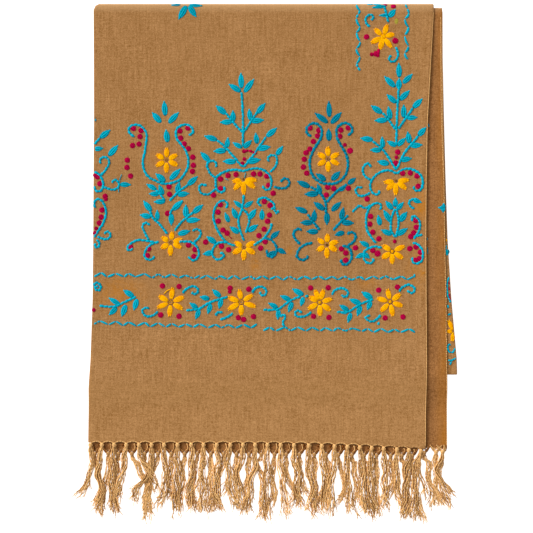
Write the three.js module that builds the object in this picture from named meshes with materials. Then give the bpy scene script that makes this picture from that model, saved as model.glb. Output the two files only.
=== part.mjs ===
// An embroidered fringed shawl, folded and laid flat on a surface.
// The cloth is folded in half lengthwise, its centre fold on the left, then folded across its
// length: the front end lies on top of the packet and drapes over its lower end to the surface.
// Millimetres, +Z up, +Y towards the top fold, +X towards the open selvedges. The origin is in the
// middle of the part's outline, on the surface it lies on.
import * as THREE from "three";
import { mergeVertices } from "three/addons/utils/BufferGeometryUtils.js";

// Driving dimensions
const CLOTH = 1.0; // thickness of one layer of cloth
const GAP = 0.3; // clearance between neighbouring solids
const PITCH = CLOTH + GAP;
const HIDDEN_TOP = 5.0; // height of the packet of hidden layers
const TOP_FOLD = 260.5; // the top fold's outermost line, from the middle
const BACK_FOLD = -109.5; // where the back stretch folds under
const RAMP_START = -108.6; // the front end leaves the packet's top here
const RAMP_END = -149; // and meets the surface here
const HEM_LEFT = -177.2; // end of the front layer's cloth at its left edge
const HEM_DROP = 6.6; // how much lower the hem hangs at its right edge
const HEM_TURN = -20; // x where the hem starts to drop
const UNDER_HEM = -182.8; // end of the under layer's cloth
const UNDER_FOLD_INSET = 4; // the under layer's top fold lies this far inside the front layer's

// Heights of the middle of each layer above the surface, on the packet and where it lies flat
const BACK_MID = HIDDEN_TOP + GAP + CLOTH / 2;
const UNDER_MID = BACK_MID + PITCH;
const FRONT_MID = UNDER_MID + PITCH;
const FOLD_MID = (BACK_MID + UNDER_MID) / 2; // centre height of both top folds
const UNDER_FLAT = CLOTH / 2;
const FRONT_FLAT = UNDER_FLAT + PITCH;

// Edges of the layers across the shawl, at distances along it
const EDGES = [
  { y: 260.5, fold: -168.0, front: 166.6, under: 168.0, back: 173.0, backFold: -168.0 },
  { y: 257.5, fold: -171.6, front: 167.0, under: 174.4, back: 175.6, backFold: -170.0 },
  { y: 253.5, fold: -172.6, front: 167.0, under: 175.4, back: 175.6, backFold: -170.5 },
  { y: 205, fold: -173.0, front: 164.2, under: 175.6, back: 176.2, backFold: -170.5 },
  { y: 145, fold: -173.2, front: 160.8, under: 176.6, back: 176.9, backFold: -170.5 },
  { y: 85, fold: -173.6, front: 159.6, under: 177.2, back: 178.4, backFold: -170.5 },
  { y: 25, fold: -174.0, front: 159.2, under: 177.8, back: 181.0, backFold: -171.0 },
  { y: -35, fold: -174.6, front: 159.6, under: 179.2, back: 184.2, backFold: -171.5 },
  { y: -95, fold: -176.2, front: 159.9, under: 180.0, back: 189.6, backFold: -172.5 },
  { y: -125, fold: -178.0, front: 159.8, under: 179.6, back: 190.4, backFold: -173.0 },
  { y: -190, fold: -178.8, front: 159.2, under: 178.6, back: 190.4, backFold: -173.0 },
];

// The hidden layers lie in double sheets; each rounds over at its folds and stands in by its own amount
const HIDDEN_SHEETS = [
  { low: 0.0, high: 1.3, right: 4.6, left: 1.4, top: 2.2, lower: 3.0 },
  { low: 1.3, high: 2.6, right: 2.4, left: 0.2, top: 0.9, lower: 1.2 },
  { low: 2.6, high: 3.7, right: 3.8, left: 1.8, top: 0.4, lower: 5.6 },
  { low: 3.7, high: 5.0, right: 1.4, left: 0.6, top: 6.6, lower: 5.6 },
];
const CORNER = 5; // corner radius of the hidden packet in plan
const ACROSS = 10; // strips that each layer of cloth has from edge to edge

// Plan outlines of the two rows of tassels, from the hem round the tips and back
const FRONT_FRINGE = {
  low: 1.3,
  high: 3.8,
  tips: [
    { x: -190, y: -235 },
    { x: -176, y: -252 },
    { x: -120, y: -258 },
    { x: -8, y: -260.5 },
    { x: 108, y: -260.5 },
    { x: 157, y: -259.5 },
    { x: 170, y: -240 },
  ],
};
const UNDER_FRINGE = {
  low: 0,
  high: 1.0,
  tips: [
    { x: -180, y: -236 },
    { x: -168, y: -250 },
    { x: -60, y: -254 },
    { x: 60, y: -254 },
    { x: 158, y: -252 },
    { x: 184, y: -246 },
    { x: 186, y: -238 },
  ],
};

// Value of one column of EDGES at a distance along the shawl
function edgeAt(column, y) {
  const rows = EDGES;
  if (y >= rows[0].y) return rows[0][column];
  for (let i = 1; i < rows.length; i++) {
    const [a, b] = [rows[i - 1], rows[i]];
    if (y >= b.y) return THREE.MathUtils.mapLinear(y, a.y, b.y, a[column], b[column]);
  }
  return rows[rows.length - 1][column];
}

// How far the front layer's hem hangs below its left end, at a distance across the shawl
function hemDrop(x) {
  const share = (x - HEM_TURN) / (edgeAt("front", HEM_LEFT) - HEM_TURN);
  return HEM_DROP * THREE.MathUtils.clamp(share, 0, 1) ** 2;
}

// Joins rings of equal length into one closed solid; capOf gives the triangles that close an end
function loft(rings, capOf = flatCap) {
  const size = rings[0].length;
  const last = (rings.length - 1) * size;
  const index = [];
  for (let r = 0; r + 1 < rings.length; r++) {
    for (let k = 0; k < size; k++) {
      const a = r * size + k;
      const b = r * size + ((k + 1) % size);
      index.push(a, b, b + size, a, b + size, a + size);
    }
  }
  for (const [a, b, c] of capOf(rings[0])) index.push(a, c, b);
  for (const [a, b, c] of capOf(rings[rings.length - 1])) index.push(last + a, last + b, last + c);
  const geometry = new THREE.BufferGeometry();
  geometry.setAttribute("position", new THREE.Float32BufferAttribute(rings.flat(2), 3));
  geometry.setIndex(index);
  return facingOut(mergeVertices(geometry, 1e-4));
}

// Triangles that close a level ring
function flatCap(ring) {
  const outline = ring.map(([x, y]) => new THREE.Vector2(x, y));
  const triangles = THREE.ShapeUtils.triangulateShape(outline, []);
  return THREE.ShapeUtils.area(outline) < 0 ? triangles.map(([a, b, c]) => [a, c, b]) : triangles;
}

// Triangles that close the end of a layer, strip by strip from its left edge to its right edge
function layerCap(ring) {
  const triangles = [];
  let [upper, lower] = [0, ring.length - 1];
  while (lower - upper > 1) {
    if (ring[upper + 1][0] <= ring[lower - 1][0]) {
      triangles.push([upper, upper + 1, lower]);
      upper++;
    } else {
      triangles.push([upper, lower - 1, lower]);
      lower--;
    }
  }
  return triangles;
}

// Turns every face round if the solid is inside out, and adds its normals
function facingOut(geometry) {
  const p = geometry.getAttribute("position");
  const index = geometry.index;
  const [a, b, c] = [new THREE.Vector3(), new THREE.Vector3(), new THREE.Vector3()];
  let volume = 0;
  for (let i = 0; i < index.count; i += 3) {
    a.fromBufferAttribute(p, index.getX(i));
    b.fromBufferAttribute(p, index.getX(i + 1));
    c.fromBufferAttribute(p, index.getX(i + 2));
    volume += a.dot(b.cross(c));
  }
  if (volume < 0) {
    for (let i = 0; i < index.count; i += 3) {
      const second = index.getX(i + 1);
      index.setX(i + 1, index.getX(i + 2));
      index.setX(i + 2, second);
    }
  }
  geometry.computeVertexNormals();
  return geometry;
}

// Stations along one layer: the middle of the cloth (y, z) and the direction its face looks (ny, nz)
function flatStations(from, to, z, count) {
  return Array.from({ length: count + 1 }, (_, i) => ({
    y: from + ((to - from) * i) / count, z, ny: 0, nz: 1,
  }));
}

// The slope from the packet's top down to the surface, eased at both ends
function rampStations(high, low, count) {
  return Array.from({ length: count + 1 }, (_, i) => {
    const share = i / count;
    return {
      y: RAMP_START + (RAMP_END - RAMP_START) * share,
      z: high + (low - high) * (1 - Math.cos(Math.PI * share)) * 0.5,
      ny: 0, nz: 1,
    };
  });
}

// A half turn about (y, z), from facing up to facing down, bulging towards side (+1 is +Y)
function turnStations(y, z, radius, side, count) {
  return Array.from({ length: count + 1 }, (_, i) => {
    const angle = (Math.PI * i) / count;
    const [ny, nz] = [side * Math.sin(angle), Math.cos(angle)];
    return { y: y + radius * ny, z: z + radius * nz, ny, nz };
  });
}

// Cross section of one layer from edge to edge: offsets across it and through its thickness.
// An edge is square (0), or rounds over at its upper (1) or lower (-1) corner where the cloth folds.
function layerSection(left, right, leftRound, rightRound) {
  const ARC = 3;
  const half = CLOTH / 2;
  const corner = (x, inward, side, i) => {
    const angle = (Math.PI / 2) * (i / ARC);
    return [x + inward * CLOTH * (1 - Math.sin(angle)), side * (CLOTH * Math.cos(angle) - half)];
  };
  const row = (side) => {
    const points = [];
    const start = left + (leftRound ? CLOTH : 0);
    const end = right - (rightRound ? CLOTH : 0);
    if (leftRound === side) for (let i = ARC; i >= 1; i--) points.push(corner(left, 1, side, i));
    for (let k = 0; k <= ACROSS; k++) {
      if ((k === 0 && leftRound === -side) || (k === ACROSS && rightRound === -side)) continue;
      points.push([start + ((end - start) * k) / ACROSS, side * half]);
    }
    if (rightRound === side) for (let i = 1; i <= ARC; i++) points.push(corner(right, -1, side, i));
    return points;
  };
  return [...row(1), ...row(-1).reverse()];
}

// One layer of cloth swept through its stations; drop lowers its hem across the shawl
function clothLayer(stations, { left, right, leftRound = 0, rightRound = 0, drop = () => 0 }) {
  const rings = stations.map(({ y, z, ny, nz }) => {
    const section = layerSection(edgeAt(left, y), edgeAt(right, y), leftRound, rightRound);
    return section.map(([x, w]) => [x, y + w * ny - drop(x, y), z + w * nz]);
  });
  return loft(rings, layerCap);
}

// Front layer: the embroidered end on top, from its hem over the top fold
function frontLayer() {
  const radius = FRONT_MID - FOLD_MID;
  const foldCentre = TOP_FOLD - radius - CLOTH / 2;
  const stations = [
    ...flatStations(HEM_LEFT, RAMP_END, FRONT_FLAT, 3).slice(0, -1),
    ...rampStations(FRONT_MID, FRONT_FLAT, 8).reverse().slice(0, -1),
    ...flatStations(RAMP_START, foldCentre, FRONT_MID, 7).slice(0, -1),
    ...turnStations(foldCentre, FOLD_MID, radius, 1, 8),
    { y: foldCentre - 2.5, z: FOLD_MID - radius, ny: 0, nz: -1 },
  ];
  const drop = (x, y) =>
    hemDrop(x) * THREE.MathUtils.clamp((RAMP_END - y) / (RAMP_END - HEM_LEFT), 0, 1);
  return clothLayer(stations, { left: "fold", right: "front", leftRound: 1, drop });
}

// Under layer: the other half of the front end, beneath the front layer
function underLayer() {
  const radius = UNDER_MID - FOLD_MID;
  const foldCentre = TOP_FOLD - UNDER_FOLD_INSET - radius - CLOTH / 2;
  const stations = [
    ...flatStations(UNDER_HEM, RAMP_END, UNDER_FLAT, 3).slice(0, -1),
    ...rampStations(UNDER_MID, UNDER_FLAT, 8).reverse().slice(0, -1),
    ...flatStations(RAMP_START, foldCentre, UNDER_MID, 7).slice(0, -1),
    ...turnStations(foldCentre, FOLD_MID, radius, 1, 6),
    { y: foldCentre - 2.5, z: FOLD_MID - radius, ny: 0, nz: -1 },
  ];
  return clothLayer(stations, { left: "fold", right: "under", leftRound: -1 });
}

// Back stretch: the layer under those two, showing along the right, folded under at its lower end
function backLayer() {
  const foldTop = TOP_FOLD - UNDER_FOLD_INSET - PITCH / 2 - CLOTH / 2 - 2.5 - GAP;
  const turn = { radius: 1.2, tail: 3 };
  const centre = BACK_FOLD + turn.radius + CLOTH / 2;
  const tail = { y: centre + turn.tail, z: BACK_MID - 2 * turn.radius, ny: 0, nz: -1 };
  const stations = [
    ...flatStations(foldTop, centre, BACK_MID, 7).slice(0, -1),
    ...turnStations(centre, BACK_MID - turn.radius, turn.radius, -1, 8),
    tail,
  ];
  return clothLayer(stations, { left: "backFold", right: "back", rightRound: 1 });
}

// Hidden layers: one solid, its sides rounded sheet by sheet
function hiddenLayers() {
  const levels = [];
  for (const sheet of HIDDEN_SHEETS) {
    const radius = (sheet.high - sheet.low) / 2;
    for (const share of [-0.92, -0.5, 0, 0.5, 0.92]) {
      const inset = radius * (1 - Math.sqrt(1 - share * share));
      levels.push({ z: sheet.low + radius * (1 + share), inset, sheet });
    }
  }
  levels[0].z = 0;
  levels[levels.length - 1].z = HIDDEN_TOP;
  return loft(levels.map(packetOutline));
}

// The packet's plan outline at one level: right side down, lower side, left side up, top side
function packetOutline({ z, inset, sheet }) {
  const SIDE = 8;
  const top = TOP_FOLD - sheet.top - inset;
  const low = BACK_FOLD + sheet.lower + inset;
  const side = (column, sign, margin) => (y) => edgeAt(column, y) + sign * (margin + inset);
  const right = side("back", -1, sheet.right);
  const left = side("backFold", 1, sheet.left);
  const points = [];
  for (let i = 0; i <= SIDE; i++) {
    const y = top - CORNER + ((low + CORNER - (top - CORNER)) * i) / SIDE;
    points.push([right(y), y, z]);
  }
  points.push([right(low) - CORNER * 0.3, low + CORNER * 0.3, z]);
  for (const share of [1, 0.5, 0]) {
    const [a, b] = [left(low) + CORNER, right(low) - CORNER];
    points.push([a + (b - a) * share, low, z]);
  }
  points.push([left(low) + CORNER * 0.3, low + CORNER * 0.3, z]);
  for (let i = SIDE; i >= 0; i--) {
    const y = top - CORNER + ((low + CORNER - (top - CORNER)) * i) / SIDE;
    points.push([left(y), y, z]);
  }
  points.push([left(top) + CORNER * 0.3, top - CORNER * 0.3, z]);
  for (const share of [0, 0.5, 1]) {
    const [a, b] = [left(top) + CORNER, right(top) - CORNER];
    points.push([a + (b - a) * share, top, z]);
  }
  points.push([right(top) - CORNER * 0.3, top - CORNER * 0.3, z]);
  return points;
}

// A row of tassels as a plain slab of its reach, meeting the hem that it hangs from
function fringe({ low, high, tips }, hem) {
  const outline = [...hem.map(([x, y]) => [x, y - GAP]), ...tips.map(({ x, y }) => [x, y])];
  return loft([low, high].map((z) => outline.map(([x, y]) => [x, y, z])));
}

// Points along a hem from right to left, where the layer's own strips meet
function hemLine(left, right, yOf) {
  return Array.from({ length: ACROSS + 1 }, (_, i) => {
    const x = right + ((left - right) * i) / ACROSS;
    return [x, yOf(x)];
  });
}

const frontHem = hemLine(
  edgeAt("fold", HEM_LEFT) + CLOTH, edgeAt("front", HEM_LEFT), (x) => HEM_LEFT - hemDrop(x),
);
const underHem = hemLine(edgeAt("fold", UNDER_HEM), edgeAt("under", UNDER_HEM), () => UNDER_HEM);

function clothMaterial(name, color) {
  return new THREE.MeshStandardMaterial({ name, color, roughness: 0.9, metalness: 0 });
}
const face = clothMaterial("cloth_face", 0xab7c4c);
const reverse = clothMaterial("cloth_reverse", 0x9f6c3b);
const yarn = clothMaterial("fringe_yarn", 0xc89764);

const shawl = new THREE.Group();
for (const [name, geometry, material] of [
  ["front_layer", frontLayer(), face],
  ["under_layer", underLayer(), reverse],
  ["back_layer", backLayer(), face],
  ["hidden_layers", hiddenLayers(), face],
  ["front_fringe", fringe(FRONT_FRINGE, frontHem), yarn],
  ["under_fringe", fringe(UNDER_FRINGE, underHem), yarn],
]) {
  const mesh = new THREE.Mesh(geometry, material);
  mesh.name = name;
  shawl.add(mesh);
}

export default shawl;
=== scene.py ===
"""An embroidered pashmina shawl, folded and laid flat, seen from straight above.

Lengths are millimetres in the part's frame, until a mesh is made: +X to the open selvedges, +Y to
the top fold, +Z up off the surface.
"""

import math

import bpy
import numpy as np
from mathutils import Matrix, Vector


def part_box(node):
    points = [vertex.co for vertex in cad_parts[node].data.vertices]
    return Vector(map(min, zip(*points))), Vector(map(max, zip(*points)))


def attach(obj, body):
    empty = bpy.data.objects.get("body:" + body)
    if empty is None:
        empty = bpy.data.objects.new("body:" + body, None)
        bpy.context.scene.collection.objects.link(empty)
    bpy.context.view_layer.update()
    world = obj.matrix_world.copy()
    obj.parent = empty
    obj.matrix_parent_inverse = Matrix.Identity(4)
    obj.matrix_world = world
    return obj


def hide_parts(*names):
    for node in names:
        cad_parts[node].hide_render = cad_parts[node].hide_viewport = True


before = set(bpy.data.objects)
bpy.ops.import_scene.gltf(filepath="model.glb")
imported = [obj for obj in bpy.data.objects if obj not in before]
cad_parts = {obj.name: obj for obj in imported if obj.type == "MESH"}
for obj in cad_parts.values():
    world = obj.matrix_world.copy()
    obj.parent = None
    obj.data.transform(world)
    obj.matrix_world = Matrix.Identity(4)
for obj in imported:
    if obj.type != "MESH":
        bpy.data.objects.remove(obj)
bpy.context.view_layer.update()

MM = 0.001
rng = np.random.default_rng(17)


# ---------------------------------------------------------------- sizes, from the frame


def box_mm(node):
    low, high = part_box(node)
    return np.array(low) / MM, np.array(high) / MM


FRONT_BOX, UNDER_BOX, BACK_BOX, HIDDEN_BOX, FRONT_FRINGE_BOX = map(
    box_mm, ("front_layer", "under_layer", "back_layer", "hidden_layers", "front_fringe")
)
CLOTH = 1.0  # thickness of a layer in the frame
THIN = 0.8  # thickness of a layer here
PITCH = 1.3  # from one layer to the next
FRONT_MID = FRONT_BOX[1][2] - CLOTH / 2
UNDER_MID = UNDER_BOX[1][2] - CLOTH / 2
BACK_MID = BACK_BOX[1][2] - CLOTH / 2
TOP_FOLD = FRONT_BOX[1][1]
BACK_FOLD = BACK_BOX[0][1]
UNDER_HEM = UNDER_BOX[0][1]
FOLD_MID = (BACK_MID + UNDER_MID) / 2  # centre height of both top folds
RAMP_START, RAMP_END = -108.6, -149.0  # the front end drapes from the packet to the surface
# The front hem's place at the left, how far it drops towards the right and where the drop begins
HEM_LEFT, HEM_DROP, HEM_TURN = -179.2, 6.6, -20.0
FRONT_FLAT, UNDER_FLAT = 3.2, 0.55  # heights of the two ends' middles near their hems
UNDER_INSET = 4.0  # the under layer turns over this far below the top fold
EDGE_CURL = 0.8  # the front layer's free edge lifts this much
EDGE_CURL_REACH = 13.0  # the cloth lifts over this width
EDGE_CURL_RISE = 20.0  # the lift is full this far above the ramp
EDGE_CURL_FADE = (4.0, 40.0)  # and fades out between these distances from the top fold
ANY_PHASE = 6.28  # a wave's phase is drawn from 0 to this
# How far the under layer's hem hangs below UNDER_HEM across the shawl
UNDER_SAG = {"x": (-180, -70, 60, 145, 160, 180), "sag": (4.2, 4.6, 5.4, 6.8, 3.0, 2.4)}

# Edges of the layers across the shawl, at distances along it
EDGES = {
    "y": (-190, -125, -95, -35, 25, 85, 145, 205, 253.5, 257.5, 260.5),
    "fold": (-179.8, -178.9, -176.7, -174.6, -174, -173.6, -173.2, -173.3, -173.6, -173.6, -169),
    "front": (159.2, 159.8, 159.9, 159.6, 159.2, 159.6, 160.8, 164.2, 167, 167, 166.6),
    "under": (181.2, 180.9, 180.2, 179.7, 178.4, 177.7, 176.5, 175.9, 175.8, 175.2, 168),
    "back": (190.4, 190.4, 189.6, 184.2, 180.4, 178.4, 176.8, 175.5, 174.8, 170, 164),
    "back_fold": (-173, -173, -172.5, -171.5, -171, -170.5, -170.5, -170.5, -170.5, -170, -168),
}

# Where each tassel's knot is across the shawl, where the tassel runs at three distances along it,
# its tip, and how wide it hangs
TASSEL_RUNS = (-198.0, -210.0, -225.0)
TASSEL_COLUMNS = ("knot", "first", "second", "third", "tip_x", "tip_y", "wide")
FRONT_TASSELS = (
    (-177.2, -176, -177.5, -184, -188.5, -235, 4.6),
    (-165.7, -169, -169.5, -166.5, -170, -253, 5.2),
    (-153.5, -154.2, -155, -155.7, -153, -252, 6),
    (-141.2, -143.2, -145.5, -149.5, -154, -240, 5.6),
    (-128.5, -125, -116, -108.5, -113, -228, 5.4),
    (-115.9, -116, -119, -131, -135.5, -239, 5),
    (-103.3, -103.2, -101.3, -103.5, -111.5, -248, 5.6),
    (-89.8, -90.2, -89.8, -90.5, -93, -257, 6),
    (-76, -75, -76.5, -78, -76.5, -250, 5.6),
    (-63.7, -64.6, -65.3, -64.2, -65, -256, 6.2),
    (-50.5, -49, -50.5, -51.5, -48.5, -250, 5.6),
    (-36.8, -39.5, -36.5, -37.2, -28.5, -248, 6),
    (-24, -26, -30, -29, -27, -248, 5.6),
    (-11.9, -11.5, -14, -17, -19.5, -249, 5.2),
    (0.5, -0.7, 0, -2.5, 0, -259, 6),
    (13.8, 13.4, 15.2, 16.5, 21.5, -256, 5.8),
    (27.1, 28.5, 29.2, 30, 26, -247, 5.6),
    (42, 40.7, 43.5, 45.3, 44, -254, 6),
    (55, 56, 58.3, 57, 52.5, -250, 5.6),
    (67.9, 67.5, 66, 63.5, 66, -255, 5.8),
    (80.8, 79.4, 81, 81.5, 86, -254.5, 5.8),
    (93.2, 95.3, 95.4, 95.3, 104, -257, 5.6),
    (105.2, 104.2, 104.2, 104.2, 109, -259, 6),
    (117.1, 118.5, 118.6, 118.6, 118.6, -250, 5.6),
    (130.5, 130, 130, 131, 136.5, -245.5, 5.2),
    (142.5, 142.3, 140, 139.8, 138.5, -258.5, 5.8),
    (154.5, 150, 149.2, 149.2, 144, -259, 6.2),
)
UNDER_TASSELS = (
    (-173, -172.5, -170, -167, -172, -245, 4.2),
    (-159.4, -159.4, -160.2, -164, -170.5, -250, 5),
    (-149.1, -151.5, -152.2, -154.6, -151, -251, 5),
    (-135.7, -132.7, -126, -120, -121.5, -259, 5.4),
    (-123, -123.5, -119, -118.5, -121, -250, 4.4),
    (-109.5, -110.5, -116.7, -120, -122, -249, 4.8),
    (-96.1, -96.1, -97, -97.7, -97.5, -236, 4.6),
    (-82.7, -84.7, -85, -86, -91, -246, 5),
    (-70, -71.5, -73.5, -75.5, -75, -247, 4.6),
    (-56.3, -56.7, -57, -57, -56.7, -250, 5.4),
    (-43.8, -44.5, -47, -50, -50, -248, 4.8),
    (-30.6, -30, -30.3, -28, -27, -230, 5),
    (-18.1, -18.1, -18.7, -21, -21, -253, 5),
    (-5.7, -10.7, -6.5, -4, -5.7, -260, 5.4),
    (7.6, 6.2, 5.3, 6.5, 4.3, -247, 5),
    (19.2, 20, 18.8, 27, 34, -246, 4.8),
    (32.5, 33.8, 32.8, 36, 39, -232, 5),
    (47.4, 48.1, 48.2, 47.5, 49, -253, 5.2),
    (59.3, 61, 62, 59, 58, -243, 4.8),
    (71.7, 72.5, 76, 77, 71.5, -242, 3.6),
    (85.1, 87.5, 88, 90.5, 89.5, -243, 5),
    (97.5, 99, 100.3, 100.4, 103, -252, 5),
    (110, 110, 110, 109.3, 110, -253, 5.2),
    (124.3, 125, 125.4, 126.2, 124, -233, 4.8),
    (135.3, 137.5, 139, 140.8, 139.5, -259, 5),
    (145.8, 144.6, 144.8, 148, 158, -260, 5.2),
    (157.8, 161.6, 161.8, 165.5, 170.5, -246, 5.2),
    (169.8, 169, 170.3, 172, 181, -246, 5.4),
    (176.5, 175, 172.5, 181, 185.5, -232, 4),
)
# Loose strands that leave a tassel of the front row
STRAY_TASSELS = (
    (-63.7, -65, -67, -70.5, -72, -232, 2.2),
    (-36.8, -39, -40, -42, -43.8, -233.5, 2.2),
    (154.5, 152, 154, 158, 161, -235.5, 2.8),
    (176, 173, 171, 178, 185.5, -245, 3.4),
)


def edge(column, y):
    return np.interp(y, EDGES["y"], EDGES[column])


def hem_drop(x):
    share = (x - HEM_TURN) / (edge("front", HEM_LEFT) - HEM_TURN)
    return HEM_DROP * np.clip(share, 0, 1) ** 2


def under_sag(x):
    return np.interp(x, UNDER_SAG["x"], UNDER_SAG["sag"])


# ---------------------------------------------------------------- small tools


def smooth_step(x, start, end):
    share = np.clip((x - start) / (end - start), 0, 1)
    return share * share * (3 - 2 * share)


def left_of(direction):
    """The direction in the plane at right angles to the given one, to its left."""
    return np.array([-direction[1], direction[0]])


CURVE_STEPS = 16  # points worked out in each span of a curve, before they are spaced evenly


def smooth_curve(points, step):
    """Points every step mm along a Catmull-Rom curve through the given ones."""
    given = np.array(points, float)
    padded = np.vstack([2 * given[0] - given[1], given, 2 * given[-1] - given[-2]])
    made = []
    share = np.linspace(0, 1, CURVE_STEPS, endpoint=False)[:, None]
    for a, b, c, d in zip(padded, padded[1:], padded[2:], padded[3:]):
        made.append(
            0.5
            * (
                2 * b
                + (c - a) * share
                + (2 * a - 5 * b + 4 * c - d) * share**2
                + (3 * b - a - 3 * c + d) * share**3
            )
        )
    made = np.vstack([*made, given[-1:]])
    lengths = np.concatenate([[0], np.cumsum(np.linalg.norm(np.diff(made, axis=0), axis=1))])
    count = max(2, int(round(lengths[-1] / step)) + 1)
    stations = np.linspace(0, lengths[-1], count)
    return np.column_stack([np.interp(stations, lengths, made[:, k]) for k in range(made.shape[1])])


def make_object(name, points, faces, material, smooth=True, marks=None):
    """A mesh object from points in mm; marks go in its point attribute "thread"."""
    mesh = bpy.data.meshes.new(name)
    mesh.from_pydata((np.asarray(points) * MM).tolist(), [], faces)
    if marks is not None:
        attribute = mesh.attributes.new("thread", "FLOAT_VECTOR", "POINT")
        attribute.data.foreach_set("vector", np.asarray(marks, np.float32).ravel())
    if smooth:
        mesh.shade_smooth()
    mesh.materials.append(material)
    mesh.validate()
    made = bpy.data.objects.new(name, mesh)
    bpy.context.scene.collection.objects.link(made)
    return made


class Pile:
    """Gathers many small solids of one material into one mesh."""

    def __init__(self):
        self.points, self.faces, self.marks, self.count = [], [], [], 0

    def add(self, points, faces, marks):
        self.points.append(points)
        self.faces.append(faces + self.count)
        self.marks.append(marks)
        self.count += len(points)

    def to_object(self, name, material):
        faces = np.vstack(self.faces).tolist()
        return make_object(
            name, np.vstack(self.points), faces, material, marks=np.vstack(self.marks)
        )


# ---------------------------------------------------------------- cloth surfaces

# Long, low swells of the folded cloth: height, and how slowly each runs along x and y
SWELLS = ((0.1, 23.0, 41.0), (0.08, -57.0, 17.0))
RIPPLE_RISE = 12.0  # the ripples are full this far above the ramp
# Soft troughs in it: middle, direction, length, width and depth
TROUGHS = (
    dict(x=-60, y=30, turn=82, length=150, width=16, depth=0.30),
    dict(x=95, y=60, turn=96, length=120, width=14, depth=0.26),
    dict(x=20, y=200, turn=8, length=160, width=12, depth=0.24),
    dict(x=-110, y=215, turn=-14, length=90, width=15, depth=0.28),
    dict(x=110, y=-40, turn=4, length=110, width=18, depth=0.26),
    dict(x=-30, y=-80, turn=-5, length=170, width=14, depth=0.30),
    dict(x=140, y=190, turn=80, length=80, width=10, depth=0.2),
)


def ripple(x, y):
    """How far the folded cloth stands off its level plane."""
    z = sum(height * np.sin(x / slow_x + y / slow_y) for height, slow_x, slow_y in SWELLS)
    for trough in TROUGHS:
        turn = math.radians(trough["turn"])
        along = (x - trough["x"]) * math.cos(turn) + (y - trough["y"]) * math.sin(turn)
        across = (y - trough["y"]) * math.cos(turn) - (x - trough["x"]) * math.sin(turn)
        reach = (along / trough["length"] * 2) ** 2 + (across / trough["width"]) ** 2
        z = z - trough["depth"] * np.exp(-reach)
    return z * smooth_step(y, RAMP_END, RAMP_START + RIPPLE_RISE)


def edge_curl(x, y):
    """How far the front layer lifts towards its free edge."""
    right = edge("front", y)
    lift = EDGE_CURL * smooth_step(x, right - EDGE_CURL_REACH, right)
    low = smooth_step(y, RAMP_END, RAMP_START + EDGE_CURL_RISE)
    high = smooth_step(y, *(TOP_FOLD - distance for distance in EDGE_CURL_FADE))
    return lift * (low * high)


def spaced(start, end, step):
    """Even steps from start to end, each of about the given length."""
    return np.linspace(start, end, max(2, int(round(abs(end - start) / step)) + 1))


def ramp_height(y, high, low):
    """The height of a layer that drapes from high, on the packet, to low, by its hem."""
    share = np.clip((RAMP_START - y) / (RAMP_START - RAMP_END), 0, 1)
    return high + (low - high) * (1 - np.cos(math.pi * share)) / 2


TOP_SHIFT = 0.1  # the layers' turns over the top fold are set this much further up


def top_centre(mid):
    """Where the turn of a layer over the top fold is centred, for the height of its middle."""
    return TOP_FOLD - (mid - FOLD_MID) + TOP_SHIFT


def turn_round(centre_y, centre_z, radius, angle, way):
    """Stations round a turn of the cloth; way is 1 at the top fold and -1 at the lower one."""
    angle = angle[:, None]
    aside, up = way * np.sin(angle), np.cos(angle)
    return np.hstack([centre_y + radius * aside, centre_z + radius * up, aside, up])


HEM_REACH = 6.0  # the scallops fade out this far from a hem
RAMP_ROWS = 8.0  # the closer rows of the ramp begin this far above it
HEM_STEP, RAMP_STEP, PACKET_STEP = 0.7, 3.0, 4.0  # from one row of points to the next
TURN_STEPS = 12


def lengthwise(hem, mid, flat_mid, fold_centre, tail):
    """Stations from the hem up to and over the top fold: y, z and the direction the face looks."""
    y = np.concatenate([
        spaced(hem, hem + HEM_REACH, HEM_STEP)[:-1],
        spaced(hem + HEM_REACH, RAMP_START + RAMP_ROWS, RAMP_STEP)[:-1],
        spaced(RAMP_START + RAMP_ROWS, fold_centre, PACKET_STEP),
    ])
    z = ramp_height(y, mid, flat_mid)
    lean = np.arctan(np.gradient(z, y))
    stations = np.column_stack([y, z, -np.sin(lean), np.cos(lean)])
    radius = mid - FOLD_MID
    angle = np.linspace(0, math.pi, TURN_STEPS + 1)[1:]
    turn = turn_round(fold_centre, FOLD_MID, radius, angle, 1)
    end = [[fold_centre - tail, FOLD_MID - radius, 0, -1]]
    return np.vstack([stations, turn, end])


def scallop(x, knots, depth, fullness=0.6):
    """How far the hem is drawn up between its knots; a low fullness makes its arches round."""
    knots = np.asarray(knots, float)
    place = np.clip(np.searchsorted(knots, x), 1, len(knots) - 1)
    low, high = knots[place - 1], knots[place]
    share = np.clip((x - low) / (high - low), 0, 1)
    return depth * np.sin(math.pi * share) ** fullness


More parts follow.
